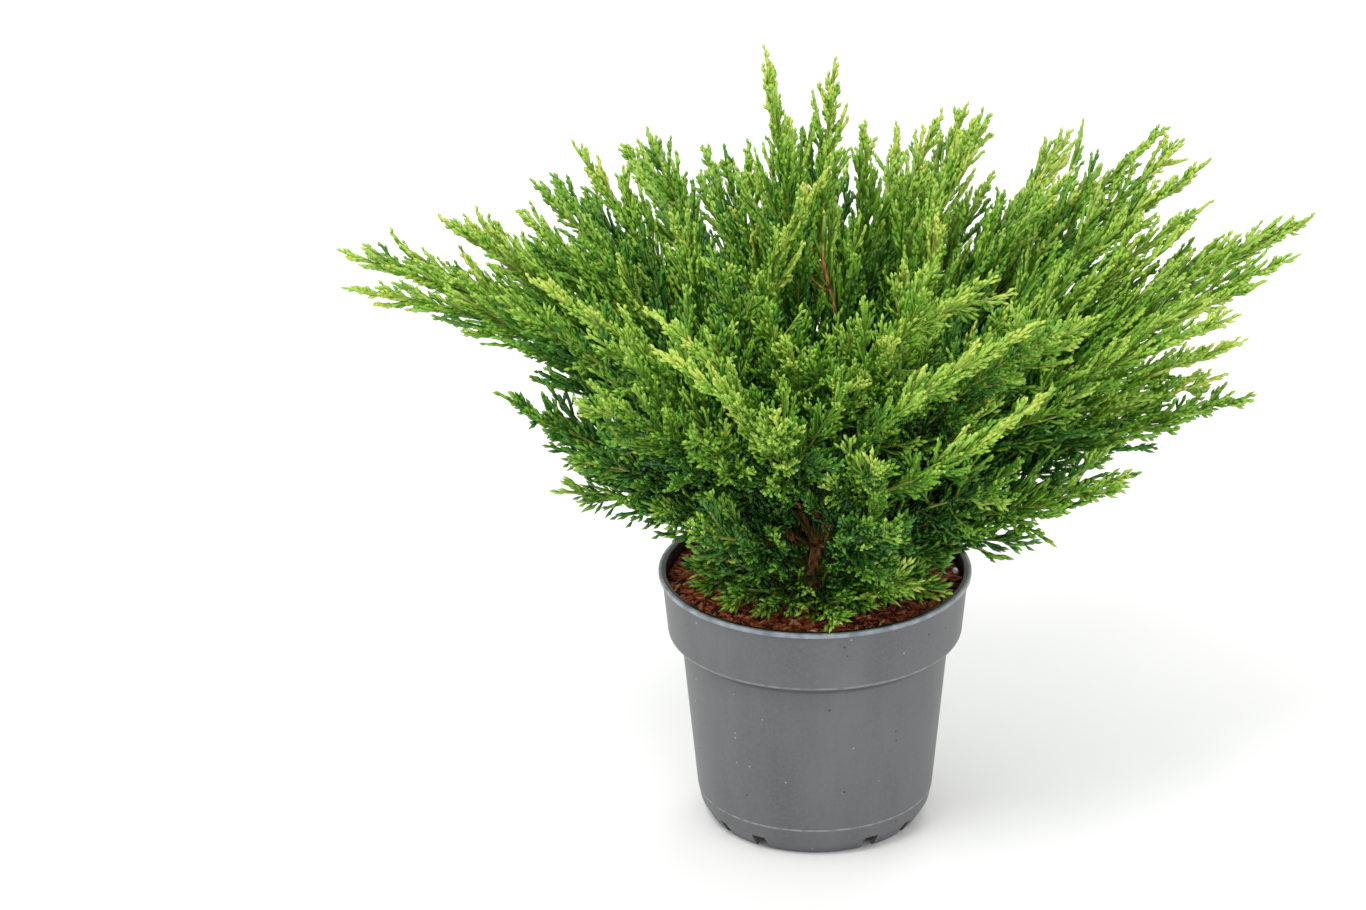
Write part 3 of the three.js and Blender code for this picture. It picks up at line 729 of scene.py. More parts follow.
def scatterTree():
    # chips strewn over the upper faces of a surface
    tree = bpy.data.node_groups.new("strewnChips", "GeometryNodeTree")
    given = addSockets(tree, {
        "Geometry": ("Geometry",), "Chip": ("Object",), "Density": ("Float",), "Lowest": ("Float",),
        "Least Size": ("Float",), "Most Size": ("Float",), "Tilt": ("Float",), "Seed": ("Int",),
        "Material": ("Material",),
    }, {"Geometry": "Geometry"})
    seed, tilt = given["Seed"], given["Tilt"]
    place = addNode(tree, "GeometryNodeInputPosition").outputs[0]
    height = addNode(tree, "ShaderNodeSeparateXYZ", {0: place}).outputs["Z"]
    isHigh = addNode(tree, "FunctionNodeCompare", {"A": height, "B": given["Lowest"]},
                     data_type="FLOAT", operation="GREATER_THAN")
    points = addNode(tree, "GeometryNodeDistributePointsOnFaces", {
        "Mesh": given["Geometry"], "Selection": isHigh.outputs["Result"],
        "Density": given["Density"], "Seed": seed,
    })
    chip = addNode(tree, "GeometryNodeObjectInfo", {"Object": given["Chip"]})
    back = maths(tree, "MULTIPLY", tilt, -1.0)
    least = addNode(tree, "ShaderNodeCombineXYZ", {"X": back, "Y": back})
    most = addNode(tree, "ShaderNodeCombineXYZ", {"X": tilt, "Y": tilt, "Z": 2 * math.pi})
    turn = addNode(tree, "FunctionNodeRandomValue", {
        "Min": least.outputs[0], "Max": most.outputs[0], "Seed": seed,
    }, data_type="FLOAT_VECTOR")
    size = addNode(tree, "FunctionNodeRandomValue", {
        2: given["Least Size"], 3: given["Most Size"], "Seed": seed,
    }, data_type="FLOAT")
    strewn = addNode(tree, "GeometryNodeInstanceOnPoints", {
        "Points": points.outputs["Points"], "Instance": chip.outputs["Geometry"],
        "Rotation": turn.outputs["Value"], "Scale": size.outputs[1],
    })
    real = addNode(tree, "GeometryNodeRealizeInstances", {"Geometry": strewn.outputs["Instances"]})
    finish = addNode(tree, "GeometryNodeSetMaterial", {
        "Geometry": real.outputs["Geometry"], "Material": given["Material"],
    })
    addNode(tree, "NodeGroupOutput", {0: finish.outputs["Geometry"]})
    return tree


def strewChips(base, tree, kind, seed, area):
    chip = chipObject(kind, seed)
    holder = addObject(kind["name"] + "Bed", base.copy())
    modifier = holder.modifiers.new("strew", "NODES")
    modifier.node_group = tree
    wanted = {
        "Chip": chip,
        "Density": kind["count"] / area,
        "Lowest": mulchSizes["edge"] - mulchSizes["chipsFrom"],
        "Least Size": kind["least"],
        "Most Size": kind["most"],
        "Tilt": kind["tilt"],
        "Seed": seed,
        "Material": mulchMaterial(kind["name"], kind["colours"]),
    }
    for socket in tree.interface.items_tree:
        if socket.in_out == "INPUT" and socket.name in wanted:
            modifier[socket.identifier] = wanted[socket.name]
    mesh = plainMesh(holder)
    bpy.data.objects.remove(holder)
    bpy.data.objects.remove(chip)
    mesh.name = kind["name"]
    return mesh


def keepInsidePot(mesh, room):
    # chips that poke through the wall slide inwards
    places = np.empty(len(mesh.vertices) * 3)
    mesh.vertices.foreach_get("co", places)
    places = places.reshape(-1, 3)
    radius = np.hypot(places[:, 0], places[:, 1])
    places[:, :2] *= np.where(radius > room, room / np.maximum(radius, 1e-6), 1.0)[:, None]
    mesh.vertices.foreach_set("co", places.ravel())
    mesh.update()


def makeMulch():
    base, edgeRadius = mulchBody()
    tree = scatterTree()
    for i, kind in enumerate(chipKinds):
        mesh = strewChips(base, tree, kind, mulchSizes["seed"] + i, math.pi * edgeRadius ** 2)
        keepInsidePot(mesh, edgeRadius + mulchSizes["chipsPast"])
        addPiece(kind["name"], mesh, None, ["bark_mulch"])
    addPiece("mulchFill", base, mulchMaterial("mulchFill", mulchSizes["fill"]), ["bark_mulch"])


# The white pellet that lies by the wall at the right

pelletSizes = {"radius": 0.0016, "place": (0.0724, 0.002, 0.1352)}


def makePellet():
    bpy.ops.mesh.primitive_ico_sphere_add(subdivisions=3, radius=pelletSizes["radius"], location=(0, 0, 0))
    ball = bpy.context.object
    mesh = ball.data
    bpy.data.objects.remove(ball)
    for vertex in mesh.vertices:
        vertex.co += Vector(pelletSizes["place"])
    shadeSmooth(mesh)
    mesh.name = "whitePellet"
    grain = {"Scale": 900.0, "Detail": 3.0, "Height": 0.2, "Distance": 0.0003}
    white = grained("whitePellet", 0.5, 0.4, grain, [(0.3, (240, 239, 235)), (0.7, (252, 252, 250))])
    addPiece("whitePellet", mesh, white, ["bark_mulch"])


makeMulch()
makePellet()
print("mulch made")


# The plant's limbs: the source's leaders come first, in its order, and then the finer ones

trunkSizes = {
    "foot": (-0.002, -0.008, 0.1328),
    "top": (0.001, -0.002, 0.152),
    "neckRadius": 0.0031,
    "taper": 0.15,
    "flare": 0.0022,
    "flareHeight": 0.007,
    "buttresses": 5,
    "buttressDepth": 0.35,
    "sunk": 0.08,  # share of its height that it goes on below the mulch
    "rings": 26,
    "sides": 20,
    # where the two arms of its fork end, left and right, and how thick they are there
    "arms": [
        {"end": (-0.0125, 0.002, 0.180), "radius": 0.0016},
        {"end": (0.0085, 0.0005, 0.1655), "radius": 0.0011},
    ],
    "armStart": 0.9,
    "armBase": 0.0022,
    "armTaper": 0.6,
    "armBow": 0.0012,
    "armRings": 22,
    "springing": (0.72, 1.0),  # shares of an arm between which the boughs leave it
    "blend": 0.3,  # share of a bough's length over which it leaves its arm
}

kinds = {
    "top": {
        "start": 1.0, "bend": (0.25, 0.5), "sway": 0.010, "bare": 0.14, "boughRadius": 0.0014, "wood": 0.5,
        "shootLength": 0.080, "shootStep": 0.0064, "tint": 0.06, "open": 1.05, "leaf": 1.12,
    },
    "rim": {
        "start": 0.9, "bend": (0.42, 0.6), "sway": 0.012, "bare": 0.11, "boughRadius": 0.0013, "wood": 0.46,
        "shootLength": 0.098, "shootStep": 0.0068, "tint": 0.06, "open": 1.0, "leaf": 1.12,
    },
    "lower": {
        "start": 0.95, "bend": (0.5, 0.46), "sway": 0.008, "bare": 0.12, "boughRadius": 0.0009, "wood": 0.42,
        "shootLength": 0.078, "shootStep": 0.0064, "tint": -0.04, "open": 1.25, "leaf": 1.4,
    },
    "between": {
        "springsAt": 0.16, "bend": (0.42, 0.6), "sway": 0.010, "bare": 0.04, "boughRadius": 0.0009,
        "shootLength": 0.070, "shootStep": 0.0078, "tint": 0.08, "open": 1.0, "leaf": 1.12, "wood": 0.24,
    },
    "skirt": {
        "start": 0.3, "bend": (0.5, 0.66), "sway": 0.005, "bare": 0.10, "boughRadius": 0.0008, "wood": 0,
        "shootLength": 0.048, "shootStep": 0.0064, "tint": 0.08, "open": 1.5, "leaf": 1.75,
    },
    "low": {
        "start": 0.2, "bend": (0.45, 0.9), "sway": 0.004, "bare": 0.16, "boughRadius": 0.0006, "wood": 0,
        "shootLength": 0.033, "shootStep": 0.0064, "tint": 0.14, "open": 1.5, "leaf": 1.85,
    },
    # sprays in the crown's heart, their tint darkened as painted shade
    "inner": {
        "start": 0.95, "bend": (0.4, 0.6), "sway": 0.006, "bare": 0.10, "boughRadius": 0.0007, "wood": 0,
        "shootLength": 0.042, "shootStep": 0.0064, "tint": -0.30, "open": 1.15, "leaf": 1.25,
    },
}
kinds["lime"] = {
    **kinds["top"], "shootLength": 0.056, "shootStep": 0.0066, "tint": 0.22, "open": 0.95, "leaf": 1.1,
}
kinds["frontRim"] = {**kinds["rim"], "shootLength": 0.094, "tint": 0.02, "open": 1.42, "leaf": 1.35}
kinds["fan"] = {**kinds["between"], "tint": 0.01, "open": 1.55, "leaf": 1.45}
kinds["plume"] = {
    **kinds["between"], "bare": 0.40,
    "shootLength": 0.028, "shootStep": 0.0060, "tint": 0.21, "open": 0.9, "leaf": 1.2,
}
fromTheFork = ("top", "lime", "rim", "frontRim")  # kinds that leave the arms of the trunk's fork
carriers = ("rim", "frontRim", "lower")  # kinds that the boughs in between spring from

# leaders: direction in degrees from +X towards +Y, then reach from the axis and tip height in millimetres
leaderRuns = [
    ("top", [(142, 32, 416), (72, 32, 408)]),
    ("lime", [(283, 31, 370)]),
    ("rim", [
        (7, 262, 322), (32, 232, 330), (49, 210, 322), (63, 210, 320), (77, 202, 308), (94, 198, 306),
        (108, 196, 302), (121, 204, 308), (138, 186, 308), (158, 206, 300), (175, 248, 306),
    ]),
    ("frontRim", [(229, 178, 288), (264, 168, 288), (312, 184, 330)]),
    ("rim", [(347, 220, 300)]),
    ("lower", [
        (357, 226, 240), (330, 176, 222), (286, 146, 222), (244, 142, 216), (197, 166, 256),
        (122, 160, 226), (52, 166, 226),
    ]),
    ("skirt", [
        (346, 126, 188), (302, 90, 164), (266, 72, 158), (214, 98, 197), (180, 130, 180),
        (106, 108, 176), (60, 108, 176),
    ]),
    ("between", [
        (16, 212, 341), (0, 246, 312), (9, 203.6, 327), (356, 219, 271), (186, 238, 303),
        (147, 148, 340), (131, 133, 341), (152, 166, 322), (51, 141, 349), (72, 84, 354),
        (28, 150, 330),
    ]),
    ("fan", [(205, 120, 268), (247, 106, 252), (290, 112, 268), (318, 120, 262), (338, 150, 262)]),
    ("between", [(100, 128, 300), (172, 120, 312)]),
    ("fan", [(342, 168, 212), (312, 140, 226), (210, 138, 228), (188, 142, 228)]),
    ("between", [(20, 170, 236), (160, 150, 236), (85, 140, 236)]),
    ("fan", [(252, 64, 196), (292, 70, 196)]),
    ("between", [(169, 196, 317), (164, 150, 300), (92, 100, 214), (70, 92, 204), (114, 100, 206)]),
    ("low", [
        (193, 61, 144), (208, 64, 142), (228, 64, 142), (244, 60, 141), (258, 56, 141),
        (277, 81, 144.5), (292, 66, 146), (308, 62, 146), (326, 64, 148), (346, 64, 150), (20, 56, 152),
        (80, 50, 150), (130, 54, 150),
    ]),
    ("inner", [
        (90, 50, 215), (60, 55, 235), (122, 55, 235), (150, 60, 212), (28, 60, 212), (180, 55, 226),
        (2, 55, 226), (207, 50, 212), (336, 50, 212), (76, 30, 270), (112, 30, 270),
    ]),
    ("between", [(0, 62, 332), (38, 78, 330), (120, 92, 336), (176, 72, 330)]),
    ("fan", [
        (218, 66, 330), (252, 76, 312), (322, 76, 326), (216, 136, 300), (246, 146, 270),
        (282, 150, 258), (297, 134, 292), (332, 156, 306), (276, 112, 292), (198, 156, 300),
    ]),
    ("between", [(85, 108, 332), (358, 228, 300), (181, 204, 306), (59, 128, 346)]),
    ("skirt", [(342, 116, 168)]),
    ("low", [(341, 77, 161), (323, 78, 146)]),
    ("between", [(357, 210, 251), (54.5, 160, 304), (33, 180, 316), (127, 50, 343)]),
    ("fan", [
        (262, 92, 300), (238, 98, 302), (304, 94, 304), (286, 60, 298), (226, 58, 300), (334, 110, 300),
    ]),
    ("between", [(34, 224.7, 335.5), (57.3, 146, 347.4), (124, 60, 352)]),
    ("skirt", [(192.8, 135.8, 218.4), (142, 104, 192), (24, 106, 188), (84, 100, 182)]),
    ("low", [(105, 56, 152), (52, 56, 152), (158, 58, 150)]),
    ("plume", [
        (311.7, 167.4, 326.5), (235, 146.4, 331), (241, 161, 318.7), (287, 126, 317),
        (172.4, 151.5, 326.8), (209.6, 162, 331), (314.3, 167.6, 289),
    ]),
    ("fan", [(317.4, 133, 326)]),
]
leaders = [(kind, way, reach / 1000, top / 1000) for kind, run in leaderRuns for way, reach, top in run]

# leaders that arch higher than the rest of their kind, and by how much
lifts = {
    ("rim", 175): 0.16,
    ("lower", 357): 0.24,
    ("skirt", 346): 0.30,
    ("skirt", 342): 0.40,
    ("skirt", 180): 0.45,
    ("between", 186): 0.18,
    ("fan", 317.4): 0.45,
    ("plume", 235): 0.19,
    ("plume", 241): 0.15,
}

# leaders that bow to one side, and how far along X and Y
bows = {
    ("lime", 283): (-0.052, 0.0),
    ("plume", 311.7): (-0.071, -0.094),
    ("plume", 235): (0.028, -0.076),
    ("plume", 241): (0.028, -0.076),
    ("plume", 314.3): (-0.023, -0.111),
    ("fan", 317.4): (-0.042, -0.073),
}

# the upright leader whose stem shows in the middle of the crown
bareStem = {
    "leader": 1,
    "shift": 0.0135,
    "at": 0.38,
    "reach": 0.28,
    "shows": (0.47, 0.63),
    "wood": 0.8,
    "twigs": [
        {"from": 0.585, "by": (-0.0150, -0.002, 0.0150)},
        {"from": 0.505, "by": (-0.0110, -0.002, 0.0100)},
    ],
    "twigRadius": 0.0006,
    "twigTaper": (1.2, 0.6),
    "twigRings": 14,
    "twigSides": 8,
    "twigSag": 0.0015,
}

pathRule = {
    "curveSteps": 90,
    "steps": 65,
    "heightWeight": 300,  # degrees that a metre of height counts as in the choice of a carrier
    "springingTurn": 0.618,
    "swayTurn": 2.4,  # radians between one leader's sway and the next one's
}


def trunkPoint(share):
    foot, top = np.array(trunkSizes["foot"]), np.array(trunkSizes["top"])
    return foot + (top - foot) * share


def carrier(leader):
    # the main bough that a bough in between springs from: the one that points most nearly its way
    name, towards, reach, top = leader
    best, least = None, 1e9
    for index, other in enumerate(leaders):
        if other[0] in carriers:
            turn = abs((other[1] - towards + 180) % 360 - 180)
            miss = turn + pathRule["heightWeight"] * abs(other[3] - top)
            if miss < least:
                best, least = index, miss
    return best


def springingPoint(towards, index):
    # the place on an arm of the fork that a bough leaves: its own side's arm, at a height of its own
    end = trunkSizes["arms"][0 if 90 <= towards < 270 else 1]["end"]
    first, last = trunkSizes["springing"]
    share = first + (last - first) * (index * pathRule["springingTurn"] % 1.0)
    return trunkPoint(1.0) + (np.array(end) - trunkPoint(1.0)) * share


def leaderPath(leader, index):
    # the source's bent line from the trunk to the tip
    name, towards, reach, top = leader
    kind = kinds[name]
    angle = math.radians(towards)
    outward = np.array([math.cos(angle), math.sin(angle), 0.0])
    sideways = np.array([-math.sin(angle), math.cos(angle), 0.0])
    if "springsAt" in kind:
        other = carrier(leader)
        start = onPath(leaderPath(leaders[other], other), kind["springsAt"])[0]
    else:
        start = trunkPoint(kind["start"])
    tip = outward * reach + np.array([0.0, 0.0, top])
    level, upward = kind["bend"]
    pull = np.array([level, level, upward + lifts.get(leader[:2], 0.0)])
    sway = kind["sway"] * math.sin(index * pathRule["swayTurn"])
    middle = start + (tip - start) * pull + sideways * sway
    middle[:2] += bows.get(leader[:2], (0.0, 0.0))
    t = np.linspace(0.0, 1.0, pathRule["curveSteps"])[:, None]
    way = evenPath((1 - t) ** 2 * start + 2 * t * (1 - t) * middle + t * t * tip, pathRule["steps"])
    share = np.linspace(0.0, 1.0, pathRule["steps"])
    if index == bareStem["leader"]:
        away = np.clip((share - bareStem["at"]) / bareStem["reach"], -1, 1)
        way[:, 0] += bareStem["shift"] * (1 + np.cos(away * math.pi)) / 2
    if name in fromTheFork:
        fading = np.clip(1 - share / trunkSizes["blend"], 0.0, 1.0) ** 2
        way = evenPath(way + (springingPoint(towards, index) - start) * fading[:, None], pathRule["steps"])
    return way


leaderPaths = [leaderPath(leader, index) for index, leader in enumerate(leaders)]

barkSizes = {
    "sides": 12,
    "ridges": 0.13,
    "ridgeWaves": (2, 3, 5),
    "ridgeWander": (0.02, 0.09),  # radians from one ring to the next
    "ridgeWave": 0.8,
    "ridgeWaveTurn": (0.1, 0.3),
    "flakes": 0.05,
    "ringStep": 0.0016,
    "fewestRings": 8,
    "tipRadius": 0.0009,
    "wobble": 0.0006,
    "wobbleTurns": 60,
    "seed": 17,
}


def barkRelief(rings, sides, random):
    # long ridges that wander round the limb, and small flakes
    b = barkSizes
    ring = np.arange(rings)[:, None]
    angle = np.linspace(0.0, 2 * math.pi, sides, endpoint=False)[None, :]
    ridges = np.zeros((rings, sides))
    for waves in b["ridgeWaves"]:
        wander = random.uniform(*b["ridgeWander"]) * ring + random.uniform(0, 6.28)
        wave = b["ridgeWave"] * np.sin(ring * random.uniform(*b["ridgeWaveTurn"]))
        ridges += np.sin(waves * angle + wander + wave) / waves
    flakes = random.uniform(-1.0, 1.0, (rings, sides))
    return 1 + b["ridges"] * ridges + b["flakes"] * flakes


def barkTube(places, radius, sides, random):
    # one limb along a path, with a radius for each ring or corner, in relief
    return tubes(places[None], (radius * barkRelief(len(places), sides, random))[None], sides)


def makeTrunk(random):
    t = trunkSizes
    share = np.linspace(-t["sunk"], 1.0, t["rings"])
    path = np.array([trunkPoint(s) for s in share])
    rise = np.maximum(share, 0.0) * (t["top"][2] - t["foot"][2])
    angle = np.linspace(0.0, 2 * math.pi, t["sides"], endpoint=False)[None, :]
    flare = t["flare"] * np.exp(-rise / (t["flareHeight"] / 2))[:, None]
    lobes = 1 + t["buttressDepth"] * np.cos(angle * t["buttresses"])
    radius = t["neckRadius"] * (1 - t["taper"] * share)[:, None] + flare * lobes
    return barkTube(path, radius, t["sides"], random)


def makeArm(arm, random):
    t = trunkSizes
    start = trunkPoint(t["armStart"])
    share = np.linspace(0.0, 1.0, t["armRings"])
    bend = np.sin(share * math.pi)[:, None] * np.array([0.0, 0.0, t["armBow"]])
    places = start + (np.array(arm["end"]) - start) * share[:, None] + bend
    radius = t["armBase"] + (arm["radius"] - t["armBase"]) * share ** t["armTaper"]
    return barkTube(places, radius[:, None], barkSizes["sides"], random)


def makeBough(kind, path, wood, random):
    # wood is the share of the path that the brown limb takes
    b = barkSizes
    share = np.linspace(0.0, wood, max(b["fewestRings"], int(pathLength(path) * wood / b["ringStep"])))
    wobble = random.uniform(-1, 1, 3) * b["wobble"]
    places = onPath(path, share)[0] + np.sin(share * b["wobbleTurns"])[:, None] * wobble
    tipRadius = min(b["tipRadius"], kind["boughRadius"])
    radius = kind["boughRadius"] + (tipRadius - kind["boughRadius"]) * share / share[-1]
    return barkTube(places, radius[:, None], b["sides"], random)


def makeBareTwig(twig, random):
    s = bareStem
    share = np.linspace(0.0, 1.0, s["twigRings"])[:, None]
    places = onPath(leaderPaths[s["leader"]], twig["from"])[0] + np.array(twig["by"]) * share
    places[:, 2] -= s["twigSag"] * np.sin(share[:, 0] * math.pi)
    radius = s["twigRadius"] * np.linspace(*s["twigTaper"], s["twigRings"])[:, None]
    return barkTube(places, radius, s["twigSides"], random)


def makeWood(random):
    parts = [makeTrunk(random)] + [makeArm(arm, random) for arm in trunkSizes["arms"]]
    for index, (leader, path) in enumerate(zip(leaders, leaderPaths)):
        kind = kinds[leader[0]]
        wood = bareStem["wood"] if index == bareStem["leader"] else kind["wood"]
        if wood > 0:
            parts.append(makeBough(kind, path, wood, random))
    parts += [makeBareTwig(twig, random) for twig in bareStem["twigs"]]
    grain = {"Scale": 420.0, "Stretch": (1.0, 1.0, 0.35), "Detail": 6.0, "Height": 0.7, "Distance": 0.001}
    bark = grained("redBrownBark", 0.78, 0.3, grain, [
        (0.32, (88, 54, 34)), (0.45, (158, 102, 60)), (0.58, (204, 146, 92)), (0.70, (236, 202, 154)),
    ], (0.65, 0.9))
    addPiece("barkLimbs", meshFromArrays("barkLimbs", *joined(parts)), bark, limbNodes)


makeWood(np.random.default_rng(barkSizes["seed"]))
print("trunk and boughs made")


# Foliage

growth = {
    "seed": 23,
    "heart": (0.0, 0.0, 0.19),
    "crownRadius": 0.25,
    "overreach": 0.007,
    "lastShoot": 0.93,
    "stemEnd": 0.955,
    "stemTip": 0.0007,
    "stemRings": 24,
    "shootRings": 8,
    "shootRadius": 0.0009,
    "shootSizes": (0.45, 1.15),
    "shootReach": 0.88,
    "shootWander": 0.10,
    "shootForward": 0.16,
    "shootRise": 0.04,
    "shootAngle": (10, 27),
    "upward": 0.5,  # how much longer the shoots are that rise above their leader, within the limits
    "upwardLimits": (0.55, 1.15),
    "firstOnShoot": 0.06,
    "firstOnLeader": 0.12,  # beyond the bare part
    "leaderShare": 0.8,  # of the branchlets that a shoot as long would have
    "branchletStep": 0.0036,
    "branchletLength": 0.0230,
    "branchletFade": 0.72,
    "branchletLeast": 0.0035,
    "branchletMost": (0.35, 0.004),  # a share of its shoot's length, and what is added to it
    "lastOnShoot": 0.97,
    "lastOnLeader": 0.01,  # before the end of its stem
    "branchletBend": 0.3,
    "branchletRise": 0.08,
    "branchletAngle": (15, 32),
    "branchletSizes": (0.75, 1.2),
    "branchletRadius": 0.00110,
    "branchletThickness": (0.85, 1.1),
    "branchletRings": (0.0, 0.5, 0.88),
    "branchletWidths": (0.85, 1.0, 0.85),
    "tipAngle": 0.05,
    "tipHug": 0.4,  # how much closer the branchlets keep to the tips
    "rollJitter": 0.75,
    "planeJitter": 0.35,
    "mostLeaves": 9,
    "leafStep": 0.0034,
    "leafStart": 0.7,  # steps from the root to the first leaf
    "leafRoom": 0.4,  # steps from the last leaf to the tip
    "leafJitter": 0.2,
    "leafLimits": (0.05, 0.95),
    "leafLength": 0.0067,
    "leafFade": 0.5,
    "leafBend": 0.35,
    "leafAngle": (13, 29),
    "leafSizes": (0.75, 1.2),
    "leafRadius": 0.00112,
    "leafThickness": (0.85, 1.12),
    "leafWidest": 0.62,
    "leafRoll": 0.55,
    "branchletTriangles": 16,
    "leafTriangles": 6,
    "mostTriangles": 180000,
}

tints = [
    {"name": "shade", "colour": (50, 102, 31), "below": 0.28},
    {"name": "deep", "colour": (76, 134, 41), "below": 0.47},
    {"name": "mid", "colour": (118, 169, 47), "below": 0.71},
    {"name": "fresh", "colour": (160, 199, 75), "below": 0.94},
    {"name": "lime", "colour": (190, 212, 90), "below": 1.19},
    {"name": "gold", "colour": (206, 216, 102), "below": 9.0},
]

# what makes a spray paler, and how unevenly; paler outward is partly the young growth's own colour and
# partly painted light on the outside of the crown, with painted shade within
paleness = {
    "least": 0.10,
    "alongLeader": 0.26,
    "alongShoot": 0.24,
    "outward": 0.22,
    "farthest": 1.1,  # crown radii from the heart beyond which sprays get no paler
    "alongBranchlet": 0.10,
    "bySpray": 0.12,
    "byBranchlet": 0.06,
    "byLeaf": 0.04,
    "byLeader": 0.05,
}

# the low, high and left parts of the crown: from start, one way along an axis, sprays get paler by more and
# more, and by the whole amount once they are over metres farther; the low and left parts are darkened as
# painted shade and the high part is lightened as painted light
paleZones = [
    {"axis": 2, "way": -1, "start": 0.27, "over": 0.10, "by": -0.10},
    {"axis": 2, "way": 1, "start": 0.20, "over": 0.20, "by": 0.15},
    {"axis": 0, "way": -1, "start": -0.02, "over": 0.10, "by": -0.13},
]

# leaders whose sprays are paler than the rest of their kind, and by how much
paler = {
    ("frontRim", 264): 0.06,
    ("frontRim", 312): -0.04,
    ("lower", 286): 0.08,
    ("skirt", 302): 0.14,
    ("plume", 314.3): -0.10,
    ("plume", 241): -0.04,
}

# slits among the sprays that show the trunk's fork, the bare stem above it and the white pellet
gaps = [
    {"from": (-0.001, -0.007, 0.1345), "to": (0.001, -0.002, 0.152), "halfWidth": 0.0038, "ahead": 0.003},
    {"from": (0.001, -0.002, 0.152), "to": (-0.0090, 0.001, 0.171), "halfWidth": 0.0028, "ahead": 0.002},
    {"from": (0.001, -0.002, 0.152), "to": (0.0070, 0.0000, 0.162), "halfWidth": 0.0020, "ahead": 0.002},
    {"from": (0.0716, 0.002, 0.1352), "to": (0.0732, 0.002, 0.1352), "halfWidth": 0.0032, "ahead": 0.002},
]
bareEnds = onPath(leaderPaths[bareStem["leader"]], np.array(bareStem["shows"]))[0]
gaps.append({"from": bareEnds[0], "to": bareEnds[1], "halfWidth": 0.0030, "ahead": 0.0008})


def envelope(share):
    # how long the side shoots are, from the inner end of the foliage to its tip
    return np.minimum(np.minimum(0.5 + 2.0 * share, 1 - 0.4 * share), 0.05 + 1.22 * (1 - share))


def turnedFrom(along, normal, angle, roll):
    # a direction that leaves along by an angle, turned round it by the roll
    across = np.cross(along, normal)
    out = across * np.cos(roll)[..., None] + normal * np.sin(roll)[..., None]
    return along * np.cos(angle)[..., None] + out * np.sin(angle)[..., None]


def outwardNormal(places, along):
    return squareTo(places - np.array(growth["heart"]), along)


def stacked(rows):
    return {key: np.concatenate([row[key] for row in rows]) for key in rows[0]}


def growShoots():
    # side shoots as bent paths, each with its place on the leader and its leader's number
    g = growth
    shoots = []
    t = np.linspace(0.0, 1.0, g["shootRings"])[:, None]
    for number, (leader, path) in enumerate(zip(leaders, leaderPaths)):
        random = np.random.default_rng(g["seed"] + number)
        kind = kinds[leader[0]]
        bare = kind["bare"]
        count = int(pathLength(path) * (1 - bare) / kind["shootStep"])
        shares = (np.arange(count) + random.uniform(0.2, 0.8, count)) / count
        places, along = onPath(path, bare + (g["lastShoot"] - bare) * shares)
        rolls = np.arange(count) * goldenAngle + random.uniform(-0.5, 0.5, count)
        angles = np.radians(random.uniform(*g["shootAngle"], count)) * kind["open"] ** 1.5
        directions = turnedFrom(along, outwardNormal(places, along), angles, rolls)
        lengths = kind["shootLength"] * envelope(shares) * random.uniform(*g["shootSizes"], count)
        lengths *= np.clip(1 + g["upward"] * (directions[:, 2] - along[:, 2]), *g["upwardLimits"])
        wander = random.normal(0.0, g["shootWander"], (count, 3))
        bows = along * g["shootForward"] + np.array([0.0, 0.0, g["shootRise"]]) + wander
        for i in range(count):
            way = places[i] + (directions[i] * t + bows[i] * t * t) * lengths[i] * g["shootReach"]
            shoots.append({"path": way, "share": shares[i], "leader": number, "length": lengths[i]})
    return shoots


def branchletsOn(path, length, first, share, number, spray, random):
    # the branchlets on one shoot, or on a leader itself, whose share of the way out is None
    g = growth
    isLeader = share is None
    spacing = g["branchletStep"] * kinds[leaders[number][0]]["leaf"] ** 0.5
    count = max(3, int(length * (1 - first) / spacing))
    if isLeader:
        count = int(count * g["leaderShare"])
    at = first + (1 - first) * (np.arange(count) + random.uniform(0.1, 0.9, count)) / count
    at = at * (g["stemEnd"] if isLeader else 1.0)
    at[-1] = g["stemEnd"] - g["lastOnLeader"] if isLeader else g["lastOnShoot"]
    places, along = onPath(path, at)
    size = np.full(count, g["branchletLength"]) * (1 - g["branchletFade"] * at)
    ofShoot, added = g["branchletMost"]
    size = np.minimum(size + g["branchletLeast"], ofShoot * length + added)
    roll = np.arange(count) * goldenAngle if isLeader else np.arange(count) % 2 * math.pi
    return {
        "root": places,
        "along": along,
        "normal": outwardNormal(places, along),
        "length": size * random.uniform(*g["branchletSizes"], count),
        "share": at,
        "inner": at if isLeader else np.full(count, share),
        "leader": np.full(count, number),
        "spray": np.full(count, spray),
        "roll": roll + random.normal(0.0, g["rollJitter"], count),
        "tip": np.arange(count) == count - 1,
    }


